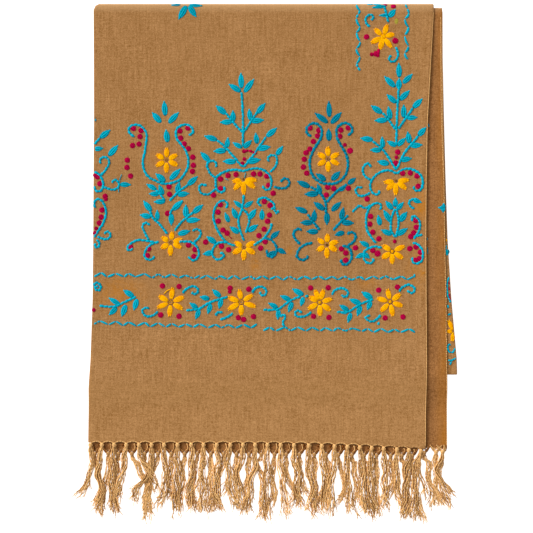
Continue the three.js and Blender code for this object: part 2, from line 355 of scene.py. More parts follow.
def cloth_mesh(name, middle, material, thickness=THIN):
    """A closed shell round a grid of mid-surface points, with a rounded rim."""
    rows, columns = middle.shape[:2]
    across, along = np.gradient(middle, axis=1), np.gradient(middle, axis=0)
    normal = np.cross(across, along)
    normal /= np.linalg.norm(normal, axis=2, keepdims=True)
    upper = middle + normal * thickness / 2
    lower = middle - normal * thickness / 2
    border = (
        [(0, j) for j in range(columns - 1)]
        + [(i, columns - 1) for i in range(rows - 1)]
        + [(rows - 1, j) for j in range(columns - 1, 0, -1)]
        + [(i, 0) for i in range(rows - 1, 0, -1)]
    )
    rim = []
    for i, j in border:
        outward = np.zeros(3)
        if i in (0, rows - 1):
            outward += along[i, j] * (1 if i else -1) / np.linalg.norm(along[i, j])
        if j in (0, columns - 1):
            outward += across[i, j] * (1 if j else -1) / np.linalg.norm(across[i, j])
        rim.append(middle[i, j] + outward / np.linalg.norm(outward) * thickness / 2)
    size = rows * columns
    index = np.arange(size).reshape(rows, columns)
    a, b, c, d = index[:-1, :-1], index[:-1, 1:], index[1:, 1:], index[1:, :-1]
    top = np.stack([a, b, c, d], axis=-1).reshape(-1, 4)
    bottom = np.stack([a, d, c, b], axis=-1).reshape(-1, 4) + size
    edge_index = np.array([index[i, j] for i, j in border])
    rim_index = 2 * size + np.arange(len(border))
    following = np.roll(edge_index, -1), np.roll(rim_index, -1)
    sides = np.vstack([
        np.column_stack([rim_index, following[1], following[0], edge_index]),
        np.column_stack([edge_index + size, following[0] + size, following[1], rim_index]),
    ])
    points = np.vstack([upper.reshape(-1, 3), lower.reshape(-1, 3), np.array(rim)])
    faces = np.vstack([top, bottom, sides]).tolist()
    return make_object(name, points, faces, material)


def on_stations(stations, section, hem_shape):
    """Mid-surface points at each station: section gives their x and their offset w from the
    surface, and hem_shape moves them near the hem."""
    rows = []
    for y, z, ny, nz in stations:
        x, w = section(y)
        moved = y + hem_shape(x, y)
        rows.append(np.column_stack([x, moved + w * ny, z + w * nz + ripple(x, y) * max(nz, 0)]))
    return np.array(rows)


FRONT_KNOTS = [row[0] for row in FRONT_TASSELS]
UNDER_KNOTS = [row[0] for row in UNDER_TASSELS]
UNDER_FULLNESS = 0.8
SCALLOP, UNDER_SCALLOP = 0.7, 2.6  # how far the hems are drawn up between their knots
HEM_LIFT, ROPE_SCALLOP = 0.9, 2.1  # the front hem's thread hangs lower than its cloth at a knot
FRONT_COLUMNS, UNDER_COLUMNS, BACK_COLUMNS, HIDDEN_COLUMNS = 172, 148, 90, 42  # points across
CENTRE_FOLD_STEPS = 8
CENTRE_TAIL = 1.2  # the front layer runs on this far under its centre fold
FRONT_TAIL, UNDER_TAIL, BACK_TAIL = 5.0, 2.5, 4.0  # and the layers this far past their other turns
UNDER_START = 1.4  # the under layer begins this far inside the front layer's centre fold


def front_cloth(material):
    radius = PITCH / 2

    def section(y):
        left, right = edge("fold", y) + THIN / 2, edge("front", y) - THIN / 2
        flat = np.linspace(left + radius, right, FRONT_COLUMNS)
        angle = np.linspace(math.pi, 0, CENTRE_FOLD_STEPS + 1)[:-1]
        tail = [left + radius + CENTRE_TAIL]
        x = np.concatenate([tail, left + radius - radius * np.sin(angle), flat])
        w = np.concatenate([[-PITCH], -radius + radius * np.cos(angle), np.zeros(len(flat))])
        return x, w + edge_curl(x, y)

    def hem_shape(x, y):
        near_hem = np.clip((RAMP_END - y) / (RAMP_END - HEM_LEFT), 0, 1)
        drawn = HEM_LIFT + scallop(x, FRONT_KNOTS, SCALLOP)
        return drawn * smooth_step(y, HEM_LEFT + HEM_REACH, HEM_LEFT) - hem_drop(x) * near_hem

    stations = lengthwise(HEM_LEFT, FRONT_MID, FRONT_FLAT, top_centre(FRONT_MID), FRONT_TAIL)
    return cloth_mesh("shawl_front_layer", on_stations(stations, section, hem_shape), material)


def under_cloth(material):
    def section(y):
        left = edge("fold", y) + THIN / 2 + PITCH / 2 + UNDER_START
        x = np.linspace(left, edge("under", y) - THIN / 2, UNDER_COLUMNS)
        return x, np.zeros(UNDER_COLUMNS)

    def hem_shape(x, y):
        near_hem = np.clip((RAMP_END - y) / (RAMP_END - UNDER_HEM), 0, 1)
        drawn = scallop(x, UNDER_KNOTS, UNDER_SCALLOP, UNDER_FULLNESS)
        return drawn * smooth_step(y, UNDER_HEM + HEM_REACH, UNDER_HEM) - under_sag(x) * near_hem

    centre = top_centre(UNDER_MID) - UNDER_INSET
    stations = lengthwise(UNDER_HEM, UNDER_MID, UNDER_FLAT, centre, UNDER_TAIL)
    return cloth_mesh("shawl_under_layer", on_stations(stations, section, hem_shape), material)


BACK_RADIUS = 1.2  # of the back layer's fold at its lower end
BACK_REACH = 0.6  # the fold's middle runs this far past the end of the frame's layer
BACK_INSET = 4.0  # the back layer ends this far below the under one's turn
BACK_STEP, BACK_FOLD_STEPS = 5.0, 10
BACK_EDGE, BACK_BEND, BACK_BEND_STEPS = 0.3, 0.6, 4  # how its right edge stands out and bends down


def back_cloth(material):
    centre = BACK_FOLD + BACK_RADIUS - BACK_REACH
    start = TOP_FOLD - UNDER_INSET - BACK_INSET
    angle = np.linspace(math.pi, 0, BACK_FOLD_STEPS + 1)
    turn = turn_round(centre, BACK_MID - BACK_RADIUS, BACK_RADIUS, angle, -1)
    tail = [[centre + BACK_TAIL, BACK_MID - 2 * BACK_RADIUS, 0, -1]]
    y = spaced(centre, start, BACK_STEP)[1:]
    flat = np.column_stack([y, np.full(len(y), BACK_MID), np.zeros(len(y)), np.ones(len(y))])
    stations = np.vstack([tail, turn, flat])

    def section(y):
        left, right = edge("back_fold", y), edge("back", y) + BACK_EDGE
        angle = np.linspace(0, math.pi / 2, BACK_BEND_STEPS + 1)[1:]
        flat = np.linspace(left, right - BACK_BEND, BACK_COLUMNS)
        x = np.concatenate([flat, right - BACK_BEND + BACK_BEND * np.sin(angle)])
        w = np.concatenate([np.zeros(len(flat)), BACK_BEND * np.cos(angle) - BACK_BEND])
        return x, w

    rows = on_stations(stations, section, lambda x, y: 0 * x)
    return cloth_mesh("shawl_back_layer", rows, material)


HIDDEN_COUNT = 7  # layers that the packet is made of
HIDDEN_GAP = 0.06  # between one and the next
HIDDEN_STEP = 9.0  # from one row of points to the next
# How far a layer stands in at each side: the least, and the most beyond that
HIDDEN_INSETS = {"right": (1.6, 3.4), "left": (0.4, 2.0), "top": (0.4, 1.6), "low": (1.4, 2.0)}
# The layers from this one up stand in further at both ends, inside the back layer's turns
HIDDEN_UPPER, UPPER_TOP, UPPER_LOW = 4, 6.2, 5.4
HIDDEN_WAVE, WAVE_ALONG, WAVE_ACROSS = 0.35, 31, 37  # their edges wander this much, this slowly


def hidden_cloth(material):
    """The packet of hidden layers: thin layers, each standing in by its own amount at each side."""
    step = HIDDEN_BOX[1][2] / HIDDEN_COUNT
    thick = step - HIDDEN_GAP
    pile = []
    for k in range(HIDDEN_COUNT):
        inset = {side: least + more * rng.random() for side, (least, more) in HIDDEN_INSETS.items()}
        if k >= HIDDEN_UPPER:
            inset["top"] += UPPER_TOP
            inset["low"] += UPPER_LOW
        phase = rng.random(4) * ANY_PHASE
        y = spaced(BACK_FOLD + inset["low"], TOP_FOLD - inset["top"], HIDDEN_STEP)
        rows = []
        for station in y:
            wave = HIDDEN_WAVE * np.sin(station / WAVE_ALONG + phase)
            left = edge("back_fold", station) + inset["left"] + wave[0]
            right = edge("back", station) - inset["right"] + wave[1]
            x = np.linspace(left, right, HIDDEN_COLUMNS)
            at_end = 1 if station in (y[0], y[-1]) else 0
            bow = HIDDEN_WAVE * np.sin(x / WAVE_ACROSS + phase[2]) * at_end
            height = np.full(HIDDEN_COLUMNS, thick / 2 + k * step)
            rows.append(np.column_stack([x, station + bow, height]))
        pile.append(cloth_mesh(f"hidden_layer_{k}", np.array(rows), material, thick))
    bpy.ops.object.select_all(action="DESELECT")
    for layer in pile:
        layer.select_set(True)
    bpy.context.view_layer.objects.active = pile[0]
    bpy.ops.object.join()
    pile[0].name = "shawl_hidden_layers"
    return pile[0]


# ---------------------------------------------------------------- stitches

# A stitch's section: places across and up, as shares of half its width and of its height
SECTION_SIDE = np.array([-1, -0.82, -0.32, 0.32, 0.82, 1])
SECTION_UP = np.array([0, 0.62, 1, 1, 0.62, 0])
# Widths and heights along a stitch, as shares of its greatest: a plain thread's, then fuller ones
THREAD_FORM = {
    "share": np.array([0, 0.14, 0.5, 0.86, 1]),
    "width": np.array([0.3, 0.86, 1, 0.86, 0.3]),
    "height": np.array([0.05, 0.8, 1, 0.8, 0.05]),
}
ALMOND_FORM = {
    "share": np.array([0, 0.12, 0.32, 0.55, 0.8, 1]),
    "width": np.array([0.2, 0.7, 0.98, 1, 0.74, 0.16]),
    "height": np.array([0.1, 0.75, 1, 1, 0.75, 0.1]),
}
PETAL_FORM = {
    "share": np.array([0, 0.15, 0.4, 0.65, 0.88, 1]),
    "width": np.array([0.2, 0.45, 0.86, 1, 0.84, 0.4]),
    "height": np.array([0.1, 0.7, 1, 1, 0.8, 0.1]),
}
ROUND_FORM = {
    "share": np.array([0, 0.08, 0.28, 0.5, 0.72, 0.92, 1]),
    "width": np.array([0.16, 0.54, 0.9, 1, 0.9, 0.54, 0.16]),
    "height": np.array([0.05, 0.5, 0.9, 1, 0.9, 0.5, 0.05]),
}


TRIALS = 12  # steps along a stitch at which the cloth is asked whether it shows
SHORTEST = 0.05  # a stitch under this length is left out
SINK = 0.12  # a stitch's foot lies this deep in the cloth

STEM_STEP = 0.25  # from point to point of the curve that a stem's stitches follow
STEM_SPAN = np.array([-0.12, 1.12])  # where a stem's stitch starts and ends, in the stem's pitch
STEM_WIDTH, STEM_PITCH, STEM_RISE, STEM_SLANT = 2.9, 4.2, 1.15, 0.13
SHORT_STEM, SHORT_PITCH = 34, 3.4  # a stem shorter than this has shorter stitches
SHORTEST_CHORD = 0.3  # a stem's stitch under this length is left out
FINE_WIDTH, FINE_PITCH = 0.9, 4.5

PAD_WIDTH, PAD_RISE = 1.95, 0.6  # of the pad under a leaf or petal, its width in half widths
HALF_RANGE = (0.93, 1.07)  # how much the width of a leaf or petal varies
LANE_RISE, EDGE_LOWER = 1.05, 0.25  # the middle stitches' height; the outer ones are this much lower
LEAF_FULLNESS, LEAF_HALF = 0.28, (2.8, 3.3)  # half a leaf's width to its length, and its limits
LEAF_LANES = (-1.0, 0.0, 1.0)
PETAL_LANES = (-1.0, -0.34, 0.34, 1.0)
PETAL_ENDS = (-0.8, 0.7)  # the short stitches that roughen a petal's end
DOT_LANES = (-0.66, -0.22, 0.22, 0.66)
DOT_RADIUS = {"dots": 2.95, "small_dots": 2.1, "big_dots": 3.3}

RING_SHARE, RING_RISE = 0.85, 0.7  # a ring's stitches leave gaps between them
# What a flower's heart is made of: rings as (thread, radius, width, count) and a dot as (thread,
# radius). A speck is one stitch.
HEARTS = {
    "dark": {"rings": [("heart", 1.2, 0.7, 7)]},
    "open": {"rings": [("heart", 2.5, 0.6, 10), ("yellow", 1.7, 0.6, 5)]},
    "yellow": {"rings": [("heart", 2.1, 0.6, 10)], "dot": ("yellow", 1.7)},
    "black": {"dot": ("heart", 1.5)},
    "full": {"dot": ("yellow", 2.6)},
    "speck": {},
}
# A running stitch's height, how often one is two short ones and where and how wide their gap is
DASH_RISE, SPLIT_CHANCE, SPLIT_AT, SPLIT_GAP = 1.0, 0.12, (0.45, 0.6), 0.03
# A flower's petals start this far from its middle and are this wide by half: six, and fewer
SIX_START, SIX_HALF = 2.3, 3.1
FEW_START, FEW_HALF = 1.8, 3.2


def tube_faces(stations, around):
    """Quads of a closed tube of rings with an even number of points, capped by quads."""
    faces = []
    for s in range(stations - 1):
        for k in range(around):
            a, b = s * around + k, s * around + (k + 1) % around
            faces.append([a, b, b + around, a + around])
    for k in range(around // 2 - 1):
        first = [k, around - 1 - k, around - 2 - k, k + 1]
        faces.append(first)
        faces.append([v + (stations - 1) * around for v in reversed(first)])
    return np.array(faces)


class Embroidery:
    """Stitches in several threads on one surface.

    height(x, y) is the height of the cloth's face, and shows(x, y) says where the cloth shows.
    """

    def __init__(self, height, shows):
        self.height, self.shows = height, shows
        self.piles = {}

    def stitch(self, thread, start, end, width, rise, bow=0.0, form=THREAD_FORM, all_in_shade=False):
        """One stitch, bowed sideways by bow, as long as the cloth shows under it."""
        start, end = np.array(start, float), np.array(end, float)
        length = np.linalg.norm(end - start)
        if length < SHORTEST:
            return
        aside = left_of((end - start) / length)

        def line_at(t):
            return start + (end - start) * t + aside * bow * 4 * t * (1 - t)

        trial = line_at(np.linspace(0, 1, TRIALS + 1)[:, None])
        seen = np.flatnonzero(self.shows(trial[:, 0], trial[:, 1]))
        if len(seen) < 2:
            return
        first, last = seen[0] / TRIALS, seen[-1] / TRIALS
        share = form["share"]
        line = line_at((first + (last - first) * share)[:, None, None])
        offset = (SECTION_SIDE[None, :] * form["width"][:, None] * width / 2)[:, :, None]
        plan = line + aside * offset
        up = SECTION_UP[None, :] * form["height"][:, None] * rise - SINK
        z = self.height(plan[..., 0], plan[..., 1]) + up
        points = np.dstack([plan, z]).reshape(-1, 3)
        marks = np.empty((len(points), 3))
        marks[:, 0] = np.repeat(share * length, len(SECTION_SIDE))
        side = np.tile(SECTION_SIDE, len(share))
        at_end = np.repeat((share == 0) | (share == 1), len(SECTION_SIDE))
        # the stitch's sides and ends are marked so that the material paints them in shade;
        # all_in_shade paints a whole pad in shade, as it shows dark between the stitches over it
        marks[:, 1] = 1.0 if all_in_shade else np.where(at_end, 1.0, side)
        marks[:, 2] = 0.0 if all_in_shade else rng.random()
        faces = tube_faces(len(share), len(SECTION_SIDE))
        self.piles.setdefault(thread, Pile()).add(points, faces, marks)

    def stem(self, thread, points, width=STEM_WIDTH, pitch=STEM_PITCH):
        """A line of stem stitch: slanted stitches that overlap their neighbours a little."""
        line = smooth_curve(points, STEM_STEP)
        length = STEM_STEP * (len(line) - 1)
        pitch = min(pitch, SHORT_PITCH) if length < SHORT_STEM else pitch
        count = max(1, int(round(length / pitch)))
        for k in range(count):
            ends = (k + STEM_SPAN) / count * (len(line) - 1)
            a, m, b = (
                line[int(np.clip(round(v), 0, len(line) - 1))]
                for v in (ends[0], ends.mean(), ends[1])
            )
            chord = b - a
            size = np.linalg.norm(chord)
            if size < SHORTEST_CHORD:
                continue
            aside = left_of(chord) / size
            bow = float((m - (a + b) / 2) @ aside)
            slant = STEM_SLANT * width * aside
            wobble = rng.normal(0, 0.1, 2)
            wide = width * rng.uniform(0.88, 1.08)
            self.stitch(thread, a - slant + wobble, b + slant + wobble, wide, STEM_RISE, bow)

    def leaf(self, thread, tip_x, tip_y, base_x, base_y, half=None):
        """A pointed leaf of long stitches side by side, from base to tip."""
        base = np.array([base_x, base_y]) + rng.normal(0, 0.15, 2)
        tip = np.array([tip_x, tip_y]) + rng.normal(0, 0.15, 2)
        span = tip - base
        length = np.linalg.norm(span)
        along = span / length
        aside = left_of(along)
        half = np.clip(LEAF_FULLNESS * length, *LEAF_HALF) if half is None else half
        half = half * rng.uniform(*HALF_RANGE)
        base = base - along * 0.7
        pad_end, pad_width = tip - along * 0.3, half * PAD_WIDTH
        self.stitch(thread, base, pad_end, pad_width, PAD_RISE, form=ALMOND_FORM, all_in_shade=True)
        for lane in LEAF_LANES:
            start = base + aside * lane * 0.5 + along * rng.uniform(0.0, 0.6)
            end = tip - along * (0.7 + 0.6 * abs(lane)) + aside * lane * 0.5
            rise = LANE_RISE - EDGE_LOWER * abs(lane)
            self.stitch(thread, start, end, half * 0.62, rise, lane * half * 0.47)
        self.stitch(thread, tip - along * 3.0, tip + along * 0.3, 2.0, 0.8)

    def dot(self, thread, x, y, radius):
        """A round satin-stitched dot over a low pad."""
        turn = rng.uniform(0.2, 1.3)
        along = np.array([math.cos(turn), math.sin(turn)])
        aside = left_of(along)
        centre = np.array([x, y]) + rng.normal(0, 0.12, 2)
        pad = along * radius * rng.uniform(0.97, 1.06)
        self.stitch(thread, centre - pad, centre + pad, radius * 1.96, 0.75, form=ROUND_FORM)
        for lane in DOT_LANES:
            reach = 0.96 * radius * math.sqrt(1 - lane * lane) * rng.uniform(0.9, 1.08)
            middle = centre + aside * lane * radius
            rise = 1.1 - 0.5 * lane * lane
            self.stitch(
                thread, middle - along * reach, middle + along * reach, radius * 0.5, rise
            )

    def petal(self, thread, centre, angle, inner, outer, half):
        """A petal that widens to a full, rough end, of stitches side by side."""
        along = np.array([math.cos(angle), math.sin(angle)])
        aside = left_of(along)
        base, tip = centre + along * inner, centre + along * (outer - 0.6)
        half = half * rng.uniform(*HALF_RANGE)
        self.stitch(thread, base, tip, half * PAD_WIDTH, PAD_RISE, form=PETAL_FORM, all_in_shade=True)
        for lane in PETAL_LANES:
            start = base + aside * lane * 0.4 + along * rng.uniform(0, 0.5)
            end = tip + aside * lane * 1.1 - along * (1.0 * abs(lane) + rng.uniform(0, 0.5))
            rise = LANE_RISE - EDGE_LOWER * abs(lane)
            self.stitch(thread, start, end, half * 0.52, rise, lane * half * 0.4)
        for side in PETAL_ENDS:
            start = tip - along * 1.5 + aside * side * 0.9
            end = tip + along * rng.uniform(0.6, 1.5) + aside * side * 1.3
            self.stitch(thread, start, end, 1.4, 0.95)

    def ring(self, thread, x, y, radius, width, count):
        """A ring of straight stitches."""
        for k in range(count):
            a, b = (2 * math.pi * (k + share) / count for share in (0.0, RING_SHARE))
            start = (x + radius * math.cos(a), y + radius * math.sin(a))
            end = (x + radius * math.cos(b), y + radius * math.sin(b))
            self.stitch(thread, start, end, width, RING_RISE)

    def flower(self, x, y, petals, heart):
        """Petals as (degrees, length) round a small heart, one of HEARTS."""
        six = len(petals) > 5
        inner = SIX_START if six and heart != "full" else FEW_START
        for degrees, outer in petals:
            angle = math.radians(degrees + rng.normal(0, 1.2))
            half = SIX_HALF if six else FEW_HALF
            self.petal("yellow", np.array([x, y], float), angle, inner, outer, half)
        for thread, radius, width, count in HEARTS[heart].get("rings", ()):
            self.ring(thread, x, y, radius, width, count)
        if "dot" in HEARTS[heart]:
            thread, radius = HEARTS[heart]["dot"]
            self.dot(thread, x, y, radius)
        if heart == "speck":
            self.stitch("heart", (x - 0.5, y - 1), (x + 0.2, y + 1.6), 1.5, 1.3)

    def running(self, start, end, sag=0.0, leg=7.0, swing=4.0, width=2.3, round_off=0.15):
        """A zigzag of running stitches from start to end that sags in between, a dash to a leg.

        Its turns are rounded by bowing each dash by round_off. A few dashes are two short ones.
        """
        start, end = np.array(start, float), np.array(end, float)
        length = np.linalg.norm(end - start)
        side = left_of(end - start) / length
        count = int(round(length / leg))
        share = np.arange(count + 1) / count + rng.normal(0, 0.12, count + 1) / count
        share[0], share[-1] = 0, 1
        swings = np.where(np.arange(count + 1) % 2 == 0, -1, 1) * swing / 2
        swings = swings * rng.uniform(0.7, 1.15, count + 1)
        line = start + (end - start) * share[:, None] + side * swings[:, None]
        line[:, 1] -= sag * 4 * share * (1 - share)
        for k, (a, b) in enumerate(zip(line, line[1:])):
            low, high = rng.uniform(-0.04, 0.05), rng.uniform(0.92, 1.03)
            wide = width * rng.uniform(0.88, 1.12)
            bow = round_off * (1 if k % 2 else -1)
            if rng.random() < SPLIT_CHANCE:
                gap = rng.uniform(*SPLIT_AT)
                gap_start = a + (b - a) * (gap - SPLIT_GAP)
                self.stitch("teal", a + (b - a) * low, gap_start, wide, DASH_RISE)
                low, bow = gap + SPLIT_GAP, 0.0
            self.stitch("teal", a + (b - a) * low, a + (b - a) * high, wide, DASH_RISE, bow)

    def bits(self, rows):
        """Single stitches, as (thread, start, end, width, rise)."""
        for row in rows:
            self.stitch(*row)

    def motif(self, parts, origin, thread="teal"):
        """A motif's parts about origin; its stems and leaves are in the given thread."""
        ox, oy = origin
        width = parts.get("width", STEM_WIDTH)
        for kind, *size in (("stems", width, STEM_PITCH), ("fine", FINE_WIDTH, FINE_PITCH)):
            for row in parts.get(kind, ()):
                self.stem(thread, [(x + ox, y + oy) for x, y in row], *size)
        for tip_x, tip_y, base_x, base_y, *half in parts.get("leaves", ()):
            self.leaf(thread, tip_x + ox, tip_y + oy, base_x + ox, base_y + oy, *half)
        for kind, radius in DOT_RADIUS.items():
            for x, y in parts.get(kind, ()):
                self.dot("crimson", x + ox, y + oy, radius)
        for x, y, petals, heart in parts.get("flowers", ()):
            self.flower(x + ox, y + oy, petals, heart)


# ---------------------------------------------------------------- the embroidered motifs
# A motif's stems are rows of (x, y) along each stem, and its fine stems are thinner. Its leaves are
# (tip x, tip y, base x, base y), with half the leaf's width where that isn't the usual. Its dots,
# small or big too, are (x, y), its flowers (x, y, petals, heart) and each petal (degrees, length),
# all about the motif's origin. Its width is that of its stems, where that isn't the usual.

PEAR_FLOWER = ((90, 12.3), (26, 12), (-27, 12.3), (-90, 12.6), (211, 11.8), (152, 11.3))
PEAR_FOOT_FLOWER = ((83, 11), (17, 12), (-28, 12), (-89, 13), (213, 11), (148, 10.5))
HALF_FLOWER = ((193, 10.8), (230, 14), (274, 15.1), (321, 14.4), (357, 13.4))
CORNER_HALF_FLOWER = ((188, 12.1), (226, 12.7), (270, 13.9), (320, 13.2), (4.5, 12.9))
FOOT_FLOWER = ((149, 11), (27, 12.3), (209, 12.6), (330, 12.6), (270, 12.8))
CORNER_FOOT_FLOWER = ((145, 11.4), (25, 13.2), (214, 12.4), (271, 12.4), (-35, 12.8))

# The branching tree over a bracket arch, about the crest of the arch
TREE_CROWN = {
    "stems": [[(-1.5, 79), (0, 55), (0, 38), (0, 24)]],
    "leaves": [(-2, 98, -1.5, 83), (-14, 87, -2, 79.5), (11, 92, 1, 79)],
}
TREE_BRANCHES = {
    "stems": [
        [(0, 38), (-10, 49), (-17, 58)],
        [(0, 38), (7, 48), (14, 59)],
        [(-26, 31), (-17, 23), (-9, 14), (-1, 5), (2, 5.5), (11, 17), (23, 34)],
    ],
    "leaves": [
        (-27, 65, -17, 57), (-10, 60.5, -10, 49.5), (-23, 48.5, -11, 49),
        (22, 68, 14, 58), (6, 62, 7.5, 51), (21, 51, 8, 50),
        (-10, 28.5, -1, 23.5), (9, 31, 1, 23.5),
        (-38.5, 35, -26, 31), (-15, 33.5, -16, 23.5), (-29.5, 19.5, -17, 20.5), (-20, 9.5, -7.5, 9),
        (34, 43, 23.5, 34.5), (12.5, 38, 14, 27.5), (27.5, 24, 14.5, 22), (18, 11.5, 4, 9),
    ],
}
TREE_ARCH = {
    "stems": [
        [(-27.5, -7), (-22, -2.5), (-13, 1), (-5, 1), (0, 0), (10, 2.5), (19, 1.5), (25.5, -3),
         (28.5, -9), (28, -15), (25, -19), (20.8, -17.5), (19.8, -14.3)],
        [(-27.5, -7), (-26.5, -18), (-22, -21.5), (-18, -19), (-19, -15.5)],
        [(-27.5, -7), (-33, -2), (-36, 5), (-34, 9.5), (-29, 10), (-26.5, 6.5), (-28, 4)],
        [(-27.5, -18), (-34, -23), (-41, -22.5), (-44, -17.5), (-42, -13.5), (-36, -14.5)],
        [(27, -1), (32.3, 4.2), (34.2, 10.6), (32.9, 15.1), (28.5, 15.9), (24.6, 13.1), (25.9, 9.3)],
        [(1, -24), (-1, -38), (-4.5, -48), (-3.5, -57), (1, -70)],
        [(-1, -38), (4, -42), (6.5, -50), (4, -58), (2.5, -62)],
    ],
    "fine": [[(2.9, -1.5), (1.3, -7.3)], [(-18, -7), (-14.5, -9.5)]],
    "leaves": [
        (-42, 19, -33.5, 9.5), (39.9, 24.9, 33.6, 16.3),
        (-18, -42, -14, -51), (-9, -30, -1, -36), (10, -30, 1.5, -36),
        (-11, -37, -6, -47), (13, -38, 6, -48), (-13, -56, -4, -62), (15, -54, 5, -60),
    ],
    "dots": [
        (-22, -8), (-15, -4.5), (-7, -3.5), (10.6, -3.2), (17.2, -2.9), (24, -5), (-22.5, -17.5),
        (25.5, -14.3), (-29.5, -24), (30.4, -22.3),
    ],
    "small_dots": [(1.4, 12.2), (-0.6, 7.7), (1, 19.5)],
    "flowers": [(0.3, -8.3, HALF_FLOWER, "speck"), (1, -76.3, FOOT_FLOWER, "dark")],
}
TREE_LEFT_FOOT = {
    "stems": [
        [(-17.5, -37), (-15, -33.5), (-19, -29.5), (-24.5, -31.5), (-28.5, -38), (-29.5, -47),
         (-27, -56), (-22, -65), (-16, -71.5), (-7.5, -75)],
        [(-15, -71.5), (-24, -71.5), (-29, -76), (-31, -82), (-29, -86.5), (-24.5, -88.5),
         (-19.5, -86), (-19.5, -82.5), (-23, -82)],
    ],
    "leaves": [(-36, -65.5, -27, -72), (-40, -83, -29.5, -81.5)],
    "dots": [
        (-22.5, -33.5), (-25, -41), (-25, -50), (-20, -59), (-16, -62),
        (-37.5, -71), (-21.5, -75), (-14.5, -78.5),
    ],
}
TREE_RIGHT_FOOT = {
    "stems": [
        [(18.3, -35.3), (15.1, -32.1), (15.7, -28.3), (21.4, -26.7), (26.5, -28.9), (31, -33),
         (31.5, -38.5)],
        [(28, -38), (33, -36.6)],
        [(31, -38.5), (33.8, -42.5), (35.5, -39.2)],
        [(28.8, -52.2), (27.2, -58.3), (20.2, -67.9), (10.6, -74.2)],
    ],
    "leaves": [(19, -38, 19, -48.5)],
    "dots": [
        (21.2, -30.5), (26.9, -34.7), (26.5, -44.3), (24.6, -50.3), (21.1, -57.9), (16, -64.7),
        (22.1, -70.8), (17.6, -77.2),
    ],
}
# The darker scrolls to the right of the middle tree
TREE_DARK_SCROLLS = {
    "width": 3.1,
    "stems": [
        [(31, -15.2), (36.1, -17.2), (41.8, -17.2), (46.3, -13.6), (45.7, -9.2), (41.8, -7.3),
         (37.4, -11.1)],
        [(21.4, -67.5), (27.8, -68.5), (31.6, -72.3), (33.9, -78.7), (31.6, -84.4), (27.8, -86.3),
         (24, -83.2), (24, -78.7)],
        [(29, -83.4), (31.6, -81.6)],
    ],
    "leaves": [
        (36.5, -60.2, 28, -67), (43, -82.5, 35, -78), (34, -79.5, 23.5, -85, 2.5),
    ],
}

# What shows at the left of a like tree that runs round the centre fold, about its arch's crest
FOLD_TREE = {
    "stems": [
        [(19.9, 33), (15.3, 27.6), (13, 24)],
        [(20.7, -4.1), (26, 1.2), (29.3, 8.1), (27.6, 12.7), (23, 14.1), (19.9, 10.8), (20.7, 7.3)],
        [(14.2, -0.3), (18.8, -3.4), (22.2, -8), (23.4, -14.1), (21.4, -19.4), (17.6, -20.6),
         (14.9, -18.7), (14.9, -14.9)],
        [(24.1, -16), (28.7, -17.9), (34.1, -18.7), (38.3, -16.4), (39, -12.6), (37.1, -9.5),
         (33.7, -9.1), (31.8, -11.8)],
        [(15.3, -36.7), (14.2, -33.2), (15.7, -29), (19.5, -28.2), (23.4, -31.7), (26, -38.6),
         (25.7, -44.7), (23.4, -51.6), (18.8, -59.2), (13.9, -66.4)],
        [(17.6, -65.4), (21.4, -67.3), (25.7, -68.4), (29.5, -66.5), (30.6, -63.4), (28.3, -60.4),
         (25.7, -61.1), (24, -62.7)],
        [(16.5, -68.4), (19.2, -71.5), (19.2, -74.9), (16.5, -76.8), (14.8, -74.5), (15.9, -72.2)],
    ],
    "fine": [[(41.8, -3.3), (39.6, -9), (38.4, -21.6)]],
    "leaves": [
        (30.2, 41, 19.9, 33), (23, 22.6, 13.5, 21.9), (37.9, 25.7, 28.7, 15),
        (50.9, -13.9, 40.5, -13.3), (16, 51, 8, 50),
    ],
    "dots": [
        (17.6, -5.7), (20.1, -12.6), (25, -25.2), (22, -39), (21.2, -46.2), (19.3, -52.1),
    ],
    "small_dots": [(26, -28.2), (16.3, -57.7), (14.6, -4.5), (14.6, -62)],
}

# The corner's own tree, taller and cut in at the right
CORNER_CROWN = {
    "stems": [
        [(2.9, 86), (2.4, 78), (1.4, 62), (0.6, 43), (0.3, 27)],
        [(-0.3, 42.8), (-8.3, 53.9), (-13.7, 59.7)],
        [(2.2, 43.4), (9.3, 53.6), (16.9, 64.5)],
        [(-23.3, 31.3), (-12.4, 22), (-0.8, 4.4), (1, 4.4), (9.2, 20.5), (22.3, 36.4)],
    ],
    "leaves": [
        (2.6, 109.4, 3.2, 95.1), (3.1, 94, 2.9, 83.5, 3.5),
        (-11.8, 96, -1, 85.8), (16.9, 98.6, 7, 89.7), (-8.9, 77.9, 0.3, 69.9),
        (13.7, 82, 3.8, 72.4), (-24.7, 66.7, -14, 59.7), (-7.6, 65.7, -5.4, 53.6),
        (-21.4, 51.8, -8.9, 52.3), (26.2, 74, 17.5, 64.8), (8, 67.7, 7.7, 54.9),
        (21.7, 55.2, 10.5, 54.6), (-8.9, 31.3, 0, 26.8), (9.6, 34.5, 1.9, 26.8),
        (-35.7, 34.2, -23.3, 32.6), (-13.7, 35.4, -13.1, 24.9), (30, 45, 22.3, 36.7),
        (11.5, 40.5, 13.7, 29.4), (26.2, 27.5, 14.7, 26.8),
        (-25.7, 22.3, -14.9, 22.3), (-18.7, 10.8, -7.2, 8.9), (15.8, 14, 4.9, 12.1),
    ],
    "dots": [(1.7, 20.4), (-0.2, 9.5)],
    "small_dots": [(0.2, 15.3)],
}
